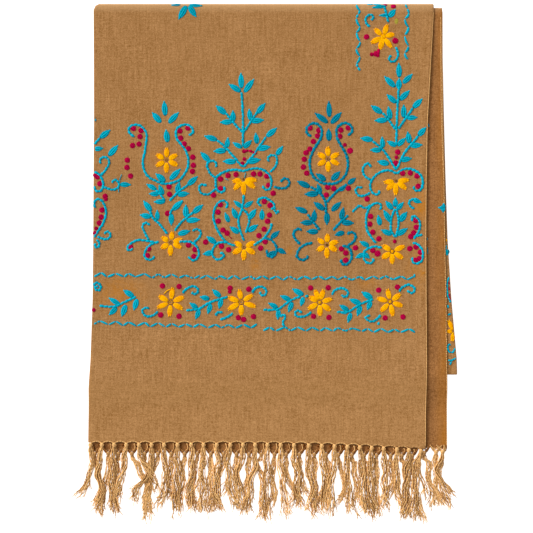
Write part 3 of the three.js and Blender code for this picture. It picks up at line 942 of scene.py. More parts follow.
CORNER_ARCH = {
    "stems": [
        [(-16.1, -17.9), (-17.4, -21.7), (-22.5, -21.1), (-25.1, -17.2), (-25.7, -12.1),
         (-23.8, -7), (-18, -0.7), (-11, 1.9), (-5.3, 1.9), (0.5, -0.9), (5.6, 2.5), (12.6, 3.8),
         (19, 1.9), (24.7, -2.6), (26.6, -9.6), (25.3, -16.6), (20.9, -18.5), (17.7, -16),
         (18.3, -13.4)],
        [(-25.1, -7.7), (-30.8, -3.9), (-33.3, 1.9), (-31.4, 7.6), (-27, 8.9), (-25.1, 5.1)],
        [(-25.7, -20.4), (-30.8, -23), (-37.2, -23), (-40.4, -18.5), (-38.5, -14.7),
         (-33.3, -15.3)],
        [(-1.2, -36), (-4.6, -46.6), (-5, -57), (-0.5, -65)],
        [(0.5, -36), (2.4, -46.6), (2.1, -55.5), (-0.2, -65)],
        [(18.3, -36.4), (13.8, -33.2), (13.2, -28.7), (17.7, -26.4), (21, -27)],
    ],
    "leaves": [
        (-0.2, -25.5, -1, -34), (-10.4, -28.7, -3.4, -36.4), (7.5, -30, 1.1, -37),
        (-12.3, -37.7, -5.3, -49.1), (11, -39.6, 3.6, -49.1), (-14.9, -57.4, -4.6, -61.9),
        (11.6, -55.8, 1.1, -62.5), (-18, -42.8, -16.1, -53), (25.5, -29.8, 17.5, -27),
    ],
    "dots": [
        (6.6, -0.9), (14.2, -0.4), (20.9, -3.6), (22.4, -13.7), (-28.9, -26.2),
    ],
    "small_dots": [(-1.2, -68.9)],
    "flowers": [
        (0, -8.5, CORNER_HALF_FLOWER, "speck"), (-3.6, -79, CORNER_FOOT_FLOWER, "yellow"),
    ],
}
CORNER_FOOT = {
    "stems": [
        [(-43.6, -39.6), (-38, -34), (-36.5, -32.5)],
        [(-36.5, -32.5), (-30.8, -35.7), (-25.1, -32.5)],
        [(-16.8, -37), (-14.5, -34.5), (-16.1, -31.3), (-21.2, -31), (-26.3, -35.1),
         (-29.5, -42.8), (-29.8, -51.7), (-27.6, -60.6), (-20, -70.8)],
        [(-14.2, -75.3), (-21.9, -74), (-28.9, -76.6), (-32.3, -81), (-31.4, -88), (-27, -91),
         (-22.5, -88.7), (-23.1, -85.5)],
        [(17.7, -42.8), (22.1, -46.6), (24, -51.7), (22.8, -58.7), (17.7, -66.4)],
        [(15.8, -49.1), (16.4, -44), (17.7, -42.8)],
        [(17.7, -64.4), (26.6, -62.1)],
        [(16.4, -70.2), (22.1, -72.1), (26, -77.2), (26.9, -82.9), (25.3, -88.7),
         (20.2, -91.2), (16.1, -88.7), (17, -84.8)],
    ],
    "leaves": [(-35.9, -68.9, -27.2, -73.4), (-40.4, -85.5, -32.1, -81.7),
               (-26.3, -86, -32.1, -81)],
    "dots": [
        (-25.4, -44), (-25.9, -51.7), (-23.1, -59.6), (-17.1, -66.4), (-23.4, -77.8),
        (20, -48.1), (20.2, -54.9), (17.9, -60.2), (14.9, -64.2), (13.8, -75.9), (20, -74.4),
        (24.3, -79.7), (23.2, -86.1), (19.2, -87.8),
    ],
    "big_dots": [(-18.4, -81)],
}

# The two pears, each with its sprays and scrolls, about the pear's flower
WIDE_PEAR = {
    "stems": [
        [(-33, 23), (-38.5, 29), (-35.5, 34.5), (-27, 34.5), (-20.5, 26), (-22, 9), (-24.2, -3),
         (-20.8, -14.4), (-12, -20.5), (-2, -23.8), (8, -22), (15, -17.5), (21, -6), (19.5, 8),
         (9.5, 22), (10.5, 32), (19, 35.5), (26, 31), (25, 26), (21.5, 25)],
        [(-11, -30), (-6, -35), (-2, -41)],
        [(21, -25), (11, -32), (2.5, -41)],
        [(16, -40.5), (5, -50), (3, -55)],
        [(0.5, -74), (-8, -63.5), (-14, -58), (-17, -51)],
        [(7.5, -71), (15, -61.5), (26, -52.5)],
        [(-17, -65), (-21, -62.5), (-24.5, -66), (-22.5, -72), (-18, -80)],
        [(-8, -82), (-13, -83), (-19, -87), (-22.5, -94), (-20.5, -99), (-15, -99.5), (-12.5, -96)],
        [(-13, -82), (-28, -80), (-37, -84), (-40, -88.5), (-37, -90.5), (-34, -88)],
        [(12, -81.5), (24, -82), (30, -87), (32, -94), (29, -99.5), (25, -100), (21, -96.5)],
        [(27, -82.5), (32.5, -77), (34, -72), (30, -69), (25.5, -71)],
    ],
    "leaves": [
        (-3, 59, -1.5, 44.5), (-15, 47.5, -6, 37.5), (11.5, 47.5, 2, 37), (-1, 30.5, 0.5, 18),
        (-11.5, -13.5, -2, -21.5), (13.5, -9, 3, -19.5),
        (-20.5, -24, -11, -29.5), (-8, -25, -4, -34.5), (-18, -34, -8, -34), (-13, -42, -2, -41.5),
        (31, -16.5, 21, -25), (13, -22, 9.5, -32), (22, -33.5, 10.5, -34.5),
        (16, -40.5, 5.5, -50), (4.5, -65.5, 4.5, -54),
        (-23.5, -41, -15.5, -51), (-27, -55, -16, -57), (-9.5, -50, -9.5, -60),
        (36, -44.5, 26, -52.5), (19, -45, 19, -57.5), (33, -60, 19.5, -60.5), (23, -71, 11, -74),
    ],
    "dots": [
        (-33.5, 31.5), (-26, 29.5), (-27, 23.5), (-28, 16), (-34.5, 14.5), (-39.5, 0), (-40, -7.5),
        (-36.5, -16), (13, 29), (21, 32), (13.5, 22), (17, 16), (21.5, 11.5), (26, 3), (26.5, -5.5),
        (25.5, -11.4), (2, -26.6), (2.6, -34), (0.5, -53.5), (-36.5, -87), (-18.5, -89),
        (-19.5, -95.5), (21.5, -85), (28, -89.5), (27, -96.5),
    ],
    "flowers": [(-0.5, 0, PEAR_FLOWER, "dark"), (3.7, -82.5, PEAR_FOOT_FLOWER, "dark")],
}
NARROW_PEAR = {
    "width": 3.3,
    "stems": [
        [(-17, 22.5), (-21.5, 26), (-21, 32), (-15, 36), (-8.5, 33), (-6.5, 26), (-8.5, 19),
         (-14.2, 10.1), (-18, 1.1), (-18.7, -6.5), (-16.8, -14.2), (-12.9, -19.9), (-6.6, -23.7),
         (1.1, -25), (10, -23.1), (15.8, -18), (19.2, -10.3), (19.6, -2.7), (17.7, 5),
         (13.8, 12), (9.4, 19), (8, 27), (11, 34), (18, 36), (24, 31), (23, 26), (19, 24)],
        [(-18, -27.6), (-9, -33.3), (-4, -40.3), (-2.7, -44.8), (-2.2, -54.3)],
        [(-1.5, -43.5), (3.6, -37.1), (11.3, -30.1), (18.9, -25.6)],
        [(-20.6, -55), (-15.5, -62.6), (-8.5, -70.9)],
        [(20.2, -56.3), (12.6, -62.6), (4.9, -71.6)],
        [(-26.7, -71.6), (-28.9, -69.6), (-33.4, -71.6), (-34.6, -77.3), (-28.3, -85.3)],
        [(-15.5, -83.7), (-23.1, -85.6), (-29.5, -90.7), (-31.4, -97.1), (-27, -100.9),
         (-21.9, -99.6), (-20.3, -96.4)],
        [(18.9, -75.4), (22.8, -72.8), (27.2, -76), (26, -81.8), (18.9, -86.9)],
        [(13.8, -86.2), (20.2, -88.8), (23.4, -95.8), (21.5, -102.8), (16.4, -106),
         (12.8, -103.4), (13.2, -100.3)],
    ],
    "leaves": [
        (0.5, 58, 1, 42), (-13.5, 46, -1, 36), (13, 46.5, 2.5, 35.5), (0.5, 30, 1, 18),
        (-12.3, -14.2, -2.7, -21.2), (11.9, -12.3, 3.6, -21.2),
        (-30.8, -22.1, -18.7, -27.9), (-23.8, -35.2, -10.4, -34.8), (-11, -25, -7.8, -33.9),
        (27.2, -18.6, 19.6, -25), (17.5, -27.5, 10.5, -31),
        (-14.5, -43.5, -4, -50.5), (12.6, -42.9, 3.6, -51.8), (-1.5, -66.2, -1.7, -54),
        (-33.1, -48.3, -21.2, -53.4), (-14, -50.9, -14.2, -62.6), (-28, -63.9, -16.1, -63.9),
        (-21.9, -72.6, -10.4, -72.8), (15.1, -48.6, 12.6, -60.1), (25.3, -64.2, 13.8, -63.7),
        (6.2, -76, 15.8, -73.1),
    ],
    "dots": [
        (-15.1, 17.5), (-18.3, 10.1), (-22.1, 6.2), (-24.4, -0.1), (-25.1, -8), (-21.6, -14.2),
        (-18.4, 31), (-9.4, 28.5), (-10.8, 23), (12.6, 29), (19.6, 31), (11.6, 22.5),
        (-0.6, -28.2), (5.2, -29.5), (-2.1, -36.1), (20, -29.2), (13, -89.8), (17.3, -93.9),
        (17.3, -100.9), (27, -88.8),
    ],
    "small_dots": [(16.4, 14.2)],
    "big_dots": [(21.5, 8.5)],
    "flowers": [(-0.2, 0.1, PEAR_FLOWER, "dark"), (-1.8, -86, PEAR_FOOT_FLOWER, "black")],
}

# The four groups of the band between the zigzag rows: a spray, a flower with dots and two curls
BAND_GROUPS = (
    {
        "stems": [
            [(-71.2, -2.8), (-66, -4), (-55.6, -4), (-53, -3), (-45, 0.8), (-34.4, 5.6)],
            [(12, 8.9), (14.7, 12.8), (22, 16.2), (26.5, 14.5), (27.6, 11.1), (24.8, 8.4),
             (21.4, 9.1), (22.2, 11)],
            [(-12.6, -8.9), (-16.5, -12.3), (-22.1, -14), (-26.5, -12.3), (-28.6, -7.8),
             (-24.9, -5), (-21.5, -6.7)],
        ],
        "leaves": [
            (-61.7, 4.4, -51.1, -2, 3), (-47.2, 12.3, -37.2, 6.1), (-61.7, -12.5, -53.9, -5.6),
            (-49.2, -14.5, -45, -2.8), (-36.6, -7.8, -33.8, 3.4),
        ],
        "dots": [(-8.2, 16.4), (8.3, 15.9), (-10, -12.5), (8.3, -14)],
        "flowers": [
            (0, 0, ((83, 15), (23, 14.5), (-29, 13.8), (-95, 14), (200, 14.3), (151, 13.7)),
             "open"),
        ],
        "at": (-96.3, -37.9),
    },
    {
        "stems": [
            [(-55.3, -8), (-51.9, -8), (-43.6, -6.9), (-41.3, -6.3), (-30.2, 0.3), (-13.4, 5.4)],
            [(10.7, 9.2), (14, 14), (19.5, 15.6), (24, 13.5), (25.2, 9.5), (22, 6.5), (18.7, 8.4),
             (20, 10.6)],
            [(-8.3, -10.8), (-12, -14), (-17.5, -16.4), (-21.5, -17.3)],
            [(-25, -14), (-25, -11), (-21.5, -10), (-18.5, -10.5)],
        ],
        "leaves": [
            (-51.9, -0.8, -43.6, -6.3), (-41.3, 5.4, -31.9, 3.1), (-28.5, 12.6, -20.7, 5.4),
            (-45.8, -17, -41.9, -8), (-33.5, -11.4, -30.2, -1.9), (-22.4, -6.3, -19.6, 3.1),
        ],
        "dots": [(-11.2, 14), (7.5, 13), (-3.2, -15.3), (2.2, -17.2), (12.2, -14.2)],
        "small_dots": [(-11.8, 10.5)],
        "flowers": [
            (0, 0, ((98, 12.7), (34, 13.5), (-18, 15.2), (-87, 13), (210, 14.9), (160, 13.8)),
             "open"),
        ],
        "at": (-25.7, -37.7),
    },
    {
        "stems": [
            [(-56.6, -7.4), (-46.8, -7.4), (-41.1, -6.3), (-29.6, 1.7), (-19.3, 6.3)],
            [(-14.7, 6.3), (-11.3, 6.3)],
            [(11.7, 7.5), (15.2, 12.1), (21.5, 14.4), (27.2, 12.1), (28.4, 8.6), (25.5, 5.5),
             (22, 6.9), (23.8, 8.1)],
            [(-8.4, -9.2), (-12.4, -12.6), (-18.1, -14.3), (-23.9, -13.2), (-24.7, -9.7),
             (-21.6, -8), (-17.6, -10.3)],
            [(-39.4, -14.3), (-36.5, -12), (-34.2, -14.3), (-35.9, -17.2), (-37.1, -20.1),
             (-35.4, -24.1)],
        ],
        "leaves": [
            (-51.4, -0.5, -42.2, -5.1), (-39.4, 6.9, -29.6, 2.9), (-27.3, 13.8, -16.4, 7.5),
            (-42.2, -17.2, -41.1, -7.4), (-31.3, -9.7, -27.3, 0), (-19.3, -3.4, -16.4, 5.2),
        ],
        "dots": [(-9.2, 14.6), (8.5, 14.9), (-6.3, -13.8), (9.2, -14.9)],
        "flowers": [
            (0, 0, ((111, 13.6), (74, 13.4), (18, 12.8), (-36, 13.7), (-87, 13.8), (209, 13.1),
                    (149, 11.8)), "yellow"),
        ],
        "at": (52.8, -38),
    },
    {
        "stems": [
            [(-53.6, -10), (-41.6, -9.8), (-30.1, -2.3), (-16.9, 2.9)],
            [(8.9, 10.3), (11.8, 14.3), (18.1, 17.2), (23.9, 14.3), (24.1, 10.9), (21, 8.6),
             (17, 11.5)],
            [(-9.4, -13.2), (-14, -17.8), (-18.6, -19.9), (-23.8, -17.2), (-24.3, -14.4),
             (-19.8, -13.8)],
            [(-11.2, -20.2), (-12.4, -23.4)],
        ],
        "leaves": [
            (-50.8, -3.4, -41.6, -8.6), (-41, 2.3, -29.5, -1.7), (-28.4, 10, -18, 3.4),
            (-49, -11.5, -42.7, -9.8, 1.8), (-42.7, -20.7, -39.3, -11.5),
            (-33, -13.8, -29.5, -4), (-22.6, -8, -19.2, 0.6),
        ],
        "dots": [(-11.5, 11.8), (7, 14.9), (-5.2, -16.1), (12.7, -14.9)],
        "flowers": [
            (0, 0, ((104, 13), (37, 12.6), (-20, 13.2), (-80, 14.3), (226, 13.6), (163, 13.7)),
             "yellow"),
        ],
        "at": (123.3, -37.4),
    },
)

# A curl that runs over the fold and half a dot, at the band's left end
BAND_END = {
    "stems": [
        [(-173.2, -21.5), (-171.5, -18.2), (-168, -18.9), (-165.9, -23), (-168, -26),
         (-171.3, -25.2), (-172, -22.2), (-170, -21.2), (-168.8, -23.3)],
    ],
    "small_dots": [(-173.4, -45.7)],
}
SIDE_BORDER = {
    "stems": [
        [(103, 237.6), (99.8, 240.5), (98.5, 244.5), (99.5, 247.7), (103, 249.8), (106.2, 248.5),
         (105.4, 244.5), (103.3, 245.3)],
        [(128.6, 217.8), (131, 211.7), (130.2, 206.1), (126.2, 202.9), (122.7, 203.7),
         (122.2, 207.7), (124.9, 208.5)],
        [(117.4, 258.1), (119, 252), (121.4, 242.1)],
    ],
    "leaves": [
        (105.4, 257, 119, 258.4, 1.8), (128.6, 255, 122.2, 247.7, 3.2),
        (112.3, 249.3, 120.6, 249.3, 1.8),
    ],
    "dots": [(99.5, 227.7), (108.8, 210.6)],
    "small_dots": [(104.8, 210.2), (110.6, 209.2)],
    "big_dots": [(128.3, 223.7)],
    "flowers": [
        (116.3, 228, ((70, 12.5), (13, 11.5), (-53, 13.9), (-104, 13.2), (208, 13.6), (137, 11.7)),
         "full"),
    ],
}
TOP_SPRIG = {
    "leaves": [
        (-88.2, 245.2, -80.6, 258.4, 3.4), (-70.7, 247.4, -77.9, 258.4, 3.3),
        (-95.5, 259.4, -87, 260.2, 1.3), (-64.7, 258.6, -77.5, 259.8, 1.9),
    ],
}

# The far end's embroidery that shows along the right, in the shawl's own place
STRIP_BITS = {
    "width": 2.1,
    "stems": [
        [(182.6, -12.6), (181, -16), (180.5, -20), (180.6, -26), (181, -31), (182.6, -35),
         (185.2, -39.6)],
        [(184.4, -81), (181.6, -80), (180.9, -83.5), (182.6, -87.4), (186.2, -87.7),
         (188.6, -83.5)],
        [(181, -95.6), (184, -96.4), (188.4, -94.3), (189.8, -95.8)],
        [(182.8, -100.6), (185.4, -97.3)],
        [(181, -50.6), (184.6, -49.3)],
        [(186.6, -49.9), (186.8, -53.5)],
        [(181.4, -40.3), (181.4, -44)],
    ],
    "leaves": [(180, 9, 180.8, 19, 2.4)],
}
STRIP_DOTS, STRIP_DOT_RADIUS = ((183.2, -18.6), (183.4, -24.2), (184, -30.6), (183.6, -34)), 1.7
# A flower's petals that show in part: their middle, where they start, half width, and each petal
STRIP_FLOWER, STRIP_START, STRIP_HALF = (187.0, -66.8), 1.0, 2.4
STRIP_PETALS = ((116, 12), (183, 7.4), (262, 10), (70, 11))

# Where the motifs of the end border stand
FOLD_TREE_AT, MIDDLE_TREE_AT, CORNER_TREE_AT = (-187, 93.5), (-24, 93.5), (129, 92)
WIDE_PEAR_AT, NARROW_PEAR_AT = (-100, 104.5), (61.4, 105.5)
# The zigzag rows over and under the band: start, end and sag
UPPER_ROWS = (((-173, -10), (-67, -12.5), 0.0), ((-67, -12.5), (147.2, -13.2), 0.8))
LOWER_ROWS = (((-173, -57.5), (-10, -61.5), 1.5), ((-3.8, -64.2), (148.5, -66.7), -0.5))
# Single stitches: thread, start, end, width and rise
BORDER_BITS = (
    ("crimson", (-23.8, 112.9), (-18.5, 114.2), 3.0, 1.1),
    ("crimson", (-18.5, 114.2), (-14.6, 112.6), 3.0, 1.1),
    ("crimson", (-14.6, 112.6), (-10, 111), 3.0, 1.1),
    ("crimson", (-39, 29.8), (-35, 25.2), 1.0, 0.8),
)
ROW_END_BIT = (("teal", (147.2, -13.2), (147.6, -9.4), 2.2, 1.05),)
SIDE_BITS = (
    ("teal", (99.8, 260.2), (106.5, 260.4), 1.5, 0.8),
    ("teal", (106.3, 260.2), (114.5, 259.6), 1.9, 0.8),
    ("crimson", (116, 259.7), (120.4, 260), 2.4, 0.8),
    ("crimson", (123.6, 258.0), (129.2, 258.2), 4.4, 0.9),
)
SPRIG_BITS = (("crimson", (111.8, 216.3), (110.6, 207.8), 3.4, 1.1),)
STRIP_END_BIT = (("yellow", (179.8, 23), (180.2, 27), 1.5, 0.9),)
UNDER_LEAVES = {
    "leaves": [
        (177, 61.2, 176.4, 56.2, 2.2), (171.8, 57, 176.6, 56.6, 1.9), (176.2, 52, 176.4, 56.6, 2.2)
    ],
}
UNDER_BITS = (
    ("teal", (160.3, 27), (160.6, 24.2), 0.9, 0.8),
    ("teal", (160.7, 17.6), (161, 10), 0.8, 0.8),
    ("teal", (161.4, 141), (162.4, 137.5), 1.2, 0.8),
)
IN_PLACE = (0, 0)  # the origin of a motif that is given in the shawl's own place


def stitch_front(embroidery):
    """The end border, the band with its zigzags, the side border and the sprig."""
    embroidery.motif(FOLD_TREE, FOLD_TREE_AT)
    for part in (TREE_CROWN, TREE_BRANCHES, TREE_ARCH, TREE_LEFT_FOOT, TREE_RIGHT_FOOT):
        embroidery.motif(part, MIDDLE_TREE_AT)
    embroidery.motif(TREE_DARK_SCROLLS, MIDDLE_TREE_AT, "deep")
    for part in (CORNER_CROWN, CORNER_ARCH, CORNER_FOOT):
        embroidery.motif(part, CORNER_TREE_AT)
    embroidery.motif(WIDE_PEAR, WIDE_PEAR_AT)
    embroidery.motif(NARROW_PEAR, NARROW_PEAR_AT, "deep")
    embroidery.bits(BORDER_BITS)

    for row in UPPER_ROWS:
        embroidery.running(*row)
    embroidery.bits(ROW_END_BIT)
    for row in LOWER_ROWS:
        embroidery.running(*row)
    for group in BAND_GROUPS:
        embroidery.motif(group, group["at"])
    embroidery.motif(BAND_END, IN_PLACE)
    embroidery.stitch("yellow", (-103.3, -30.1), (-95.5, -24.5), 1.2, 1.2, bow=1.2)

    side_row = dict(leg=7.6, width=2.6, round_off=0.9)
    embroidery.running((91.5, 261), (91.3, 193.5), swing=4.2, **side_row)
    embroidery.running((139.8, 261), (139.8, 204.5), **side_row)
    embroidery.bits(SIDE_BITS)
    embroidery.stitch("olive", (129.6, 246.6), (129.2, 240.0), 4.4, 0.25, form=ROUND_FORM)
    embroidery.motif(SIDE_BORDER, IN_PLACE)
    embroidery.bits(SPRIG_BITS)
    embroidery.motif(TOP_SPRIG, IN_PLACE)


def stitch_back(embroidery):
    """What shows of the far end's embroidery along the right."""
    embroidery.motif(STRIP_BITS, IN_PLACE)
    for x, y in STRIP_DOTS:
        embroidery.dot("crimson", x, y, STRIP_DOT_RADIUS)
    centre = np.array(STRIP_FLOWER)
    for degrees, outer in STRIP_PETALS:
        angle = math.radians(degrees)
        embroidery.petal("yellow", centre, angle, STRIP_START, outer, STRIP_HALF)
    embroidery.bits(STRIP_END_BIT)


def stitch_under(embroidery):
    """The back of a leaf that shows on the under layer's reverse, and two bits by the edge."""
    embroidery.motif(UNDER_LEAVES, IN_PLACE)
    embroidery.bits(UNDER_BITS)


# ---------------------------------------------------------------- fringe


TAPER_AT, TAPER = (0, 0.8, 1), (1, 0.9)  # a yarn thins a little along its length, then to its end


def yarn(pile, path, radius, chance, around=4, end=0.4):
    """A tube along a path of points that tapers to end; chance picks its shade."""
    tangent = np.gradient(path, axis=0)
    tangent /= np.linalg.norm(tangent, axis=1, keepdims=True)
    aside = np.cross(tangent, [0, 0, 1.0])
    aside /= np.linalg.norm(aside, axis=1, keepdims=True)
    up = np.cross(aside, tangent)
    angle = 2 * math.pi * (np.arange(around) + 0.5) / around
    taper = radius * np.interp(np.linspace(0, 1, len(path)), TAPER_AT, (*TAPER, end))
    ring = (
        path[:, None, :]
        + aside[:, None, :] * np.cos(angle)[None, :, None] * taper[:, None, None]
        + up[:, None, :] * np.sin(angle)[None, :, None] * taper[:, None, None]
    )
    length = np.linalg.norm(np.diff(path, axis=0), axis=1).sum()
    marks = np.empty((len(path) * around, 3))
    marks[:, 0] = np.repeat(np.linspace(0, length, len(path)), around)
    # across, from which the material paints shade towards the yarn's sides
    marks[:, 1] = np.tile(np.cos(angle), len(path))
    marks[:, 2] = chance
    pile.add(ring.reshape(-1, 3), tube_faces(len(path), around), marks)


YARNS, CORES = 11, 3  # yarns round a tassel's outside, and thicker ones inside it, painted darker as the shade within the tassel
STRAY_YARNS, STRAY_CORES = 5, 1
FRAYS = 3  # loose strands at each yarn's end
TASSEL_STEPS, FRAY_STEPS = 36, 6
SPINE_STEP = 1.0
BEND_BELOW, BEND_SHARES = 6.0, (0.6, 0.4)  # where it bends from its knot towards its first run
LEAST_RUN = 5  # a run this near to the tip, or past it, is left out
HALF_SHARE = 0.6  # half a tassel's breadth, of how wide it hangs
SPLAY_FROM, SPLAY_POWER, SPLAY = 0.7, 1.5, 1.7  # how its ends spread
# How deep its yarns' rounds are, in half its depth, how flat the cores' are and how low these lie
ROUND_DEPTH, CORE_DEPTH, CORE_LOWER = 0.8, 0.4, 0.45
TIP_END, FRAY_END = 0.75, 0.7  # a yarn's and a strand's thickness at the end
FRAY_FROM = 10  # strands leave a yarn in its last so many steps
FRAY_LIMIT = FRONT_FRINGE_BOX[0][1] - 1.0  # and end above this
# What the threads of the tassels, knots and cords are drawn from, each as a range
RANGES = dict(
    turns=(0.4, 0.9), phase=(0, ANY_PHASE), jitter=(-0.4, 0.4),
    sway=(0.5, 1.1), sway_slow=(3.2, 5.5), wave=(0.15, 0.4), wave_slow=(0.9, 1.5),
    drift=(0.2, 0.7), drift_slow=(3, 7),
    inward=(0.7, 1.1), reach=(0.84, 0.98), radius=(0.42, 0.62), chance=(0.2, 1.1),
    core_inward=(0.2, 0.6), core_reach=(0.76, 0.9), core_radius=(0.8, 1.0),
    core_chance=(0.0, 0.45),
    fray_chance=(-0.1, 0.3), fray_length=(4.5, 8.5), fray_radius=(0.36, 0.5),
    knot_shade=(-0.15, 0.15), leg_shade=(-0.08, 0.08),
    tongue_bow=(2.4, 3.6), tongue_radius=(0.55, 0.85), tongue_shade=(0.35, 0.8),
    tongue_dark=(-0.9, -0.6), tongue_ring=(0.1, 0.45),
    bead_shift=(-0.2, 0.2), bead_shade=(0.2, 0.7),
)
# A tassel's spread along its length, as shares of half its width
SPREAD_AT = (0, 0.06, 0.18, 0.45, 0.7, 0.88, 1)
SPREAD = (0.3, 0.72, 0.96, 0.98, 1.12, 1.4, 1.5)


def draw(name):
    return rng.uniform(*RANGES[name])


def tassel(pile, row, knot_y, low, high, yarns=YARNS, cores=CORES):
    """A tassel of loosely twisted yarns, from its knot through its three runs to its frayed tip."""
    values = dict(zip(TASSEL_COLUMNS, row))
    bend = values["knot"] * BEND_SHARES[0] + values["first"] * BEND_SHARES[1]
    spine = smooth_curve(
        [
            (values["knot"], knot_y),
            (bend, knot_y - BEND_BELOW),
            *((values[name], y) for name, y in zip(TASSEL_COLUMNS[1:4], TASSEL_RUNS)
              if y > values["tip_y"] + LEAST_RUN),
            (values["tip_x"], values["tip_y"]),
        ],
        SPINE_STEP,
    )
    length = float(len(spine) - 1)
    half = values["wide"] * HALF_SHARE
    turns = draw("turns") * rng.choice([-1, 1])
    sway = draw("sway"), draw("sway_slow"), draw("phase")
    middle, depth = (low + high) / 2, (high - low) / 2
    order = rng.permutation(yarns)
    for k in range(yarns + cores):
        core = k >= yarns
        place_round = rng.random() if core else (order[k] + draw("jitter")) / yarns
        inward = draw("core_inward" if core else "inward")
        reach = draw("core_reach" if core else "reach")
        share = np.linspace(0, reach, TASSEL_STEPS)
        place = share * length
        x = np.interp(place, np.arange(len(spine)), spine[:, 0])
        y = np.interp(place, np.arange(len(spine)), spine[:, 1])
        spread = half * inward * np.interp(share, SPREAD_AT, SPREAD)
        turn = 2 * math.pi * (place_round + turns * share)
        wave = draw("wave") * np.sin(place / draw("wave_slow") + draw("phase"))
        drift = draw("drift") * np.sin(place / draw("drift_slow") + draw("phase"))
        drift = drift + sway[0] * np.sin(place / sway[1] + sway[2])
        at_end = np.clip((share - SPLAY_FROM) / (1 - SPLAY_FROM), 0, 1)
        splay = at_end**SPLAY_POWER * rng.normal(0, SPLAY)
        x = x + spread * np.sin(turn) + np.clip(share * 6, 0, 1) * (wave + drift) + splay
        front = ROUND_DEPTH * np.cos(turn)
        z = middle + depth * (front * CORE_DEPTH - CORE_LOWER if core else front)
        path = np.column_stack([x, y, z])
        if core:
            yarn(pile, path, draw("core_radius"), draw("core_chance"))
            continue
        # painted light and shade: a yarn that lies higher in the tassel is lighter, a lower one
        # darker
        chance = 0.2 * np.cos(turn[TASSEL_STEPS // 2]) + draw("chance")
        yarn(pile, path, draw("radius"), chance, end=TIP_END)
        for _ in range(FRAYS):
            fray(pile, path, chance + draw("fray_chance"))


def fray(pile, path, chance):
    """A loose strand that leaves a yarn near its end and hangs beside it."""
    first = rng.integers(TASSEL_STEPS - FRAY_FROM, TASSEL_STEPS - 1)
    start = path[first]
    share = np.linspace(0, 1, FRAY_STEPS)
    step = draw("fray_length") / (FRAY_STEPS - 1)
    run = path[-1] - path[first - 3]
    angle = math.atan2(run[0], -run[1]) + rng.normal(0, 0.24) + rng.normal(0, 0.3) * share
    x = start[0] + np.concatenate([[0], np.cumsum(np.sin(angle[1:]) * step)])
    y = start[1] - np.concatenate([[0], np.cumsum(np.cos(angle[1:]) * step)])
    path = np.column_stack([x, np.maximum(y, FRAY_LIMIT), np.full(FRAY_STEPS, start[2])])
    yarn(pile, path, draw("fray_radius"), chance, end=FRAY_END)


KNOT_TURNS, KNOT_STEPS = (0.6, -0.6, 1.57), 10  # how the loops round a knot are turned


def knot(pile, x, y, z, radius, shade):
    """A small knot: a short body with three loops wrapped round it."""
    body = np.array([[x, y + radius, z], [x, y + 0.3, z + 0.1], [x, y - radius, z]])
    # the body, seen between the loops, is painted darker as the shade in the knot's middle
    yarn(pile, body, radius * 0.8, shade - 0.25, 6, end=0.9)
    for turn in KNOT_TURNS:
        angle = np.linspace(0, 2 * math.pi, KNOT_STEPS + 1)
        loop = np.column_stack([
            radius * 0.72 * np.cos(angle),
            radius * 0.72 * np.sin(angle),
            radius * 0.3 * np.sin(angle + turn) + 0.35,
        ])
        spin = np.array([[math.cos(turn), -math.sin(turn)], [math.sin(turn), math.cos(turn)]])
        loop[:, :2] = loop[:, :2] @ spin.T
        yarn(pile, loop + [x, y, z], radius * 0.36, shade + draw("knot_shade"))


ROPE_STEP, ROPE_BELOW = 0.8, 0.3
ROPE_PAST = (1.5, 2.0)  # it runs this far past the first knot and the last
ROPE_STRANDS = ((0.22, 0.25), (-0.28, 0.0))  # each strand's place across the thread and its lift
ROPE_RADIUS, LIT_RADIUS = 0.4, 0.5


def hem_rope(pile, knots, hem):
    """The thread of two strands that binds a hem and dips to each knot."""
    x = np.arange(knots[0] - ROPE_PAST[0], knots[-1] + ROPE_PAST[1], ROPE_STEP)
    y = hem["y"](x) + scallop(x, knots, hem["drawn"], hem["fullness"]) - ROPE_BELOW
    z, shade = hem["z"], hem["rope_shade"]
    for side, lift in ROPE_STRANDS:
        path = np.column_stack([x, y + side, z(x) + lift + 0.12 * np.sin(x * 2.4 + side * 9)])
        yarn(pile, path[x <= hem["lit_from"]], ROPE_RADIUS, shade)
        if x[-1] > hem["lit_from"]:
            yarn(pile, path[x > hem["lit_from"] - 1], LIT_RADIUS, shade + hem["lit_shade"])


THREAD_STEP = 0.9
LEG_TOP, LEG_MIDDLE = 0.35, 0.2  # how far a leg's top and middle stand above its knot
TASSEL_BELOW, STRAY_BELOW = 0.6, 1.5  # a tassel starts this far below its knot, a stray below the hem


def fringe_row(name, rows, strays, hem, low, high, material):
    """A row of knots under a hem, with its tassels and the thread along the hem."""
    pile = Pile()
    knots = [row[0] for row in rows]
    hem_y, hem_z = hem["y"], hem["z"]
    hem_rope(pile, knots, hem)
    for row in rows:
        x = row[0]
        y = float(hem_y(x)) - hem["knot_below"]
        level = max((float(hem_z(x)) + (low + high) / 2) / 2, 0.8 * hem["knot_radius"])
        lit = hem["lit_shade"] if x > hem["lit_from"] else 0.0
        knot(pile, x, y, level, hem["knot_radius"], hem["knot_shade"] + lit)
        for spread, up, shade in hem["legs"]:
            for side in (-1, 1):
                top = np.clip(x + side * spread, knots[0] - 1, knots[-1] + 1)
                path = smooth_curve(
                    [
                        (top, y + up, level + LEG_TOP),
                        (x + side * (0.4 + spread * 0.5), y + up * 0.33, level + LEG_MIDDLE),
                        (x + side * 0.8, y, level),
                    ],
                    THREAD_STEP,
                )
                yarn(pile, path, hem["leg_radius"], shade + lit + draw("leg_shade"))
        tassel(pile, row, y - TASSEL_BELOW, low, high)
    for row in strays:
        start = float(hem_y(row[0])) - STRAY_BELOW
        tassel(pile, row, start, low, high, STRAY_YARNS, STRAY_CORES)
    return pile.to_object(name, material)
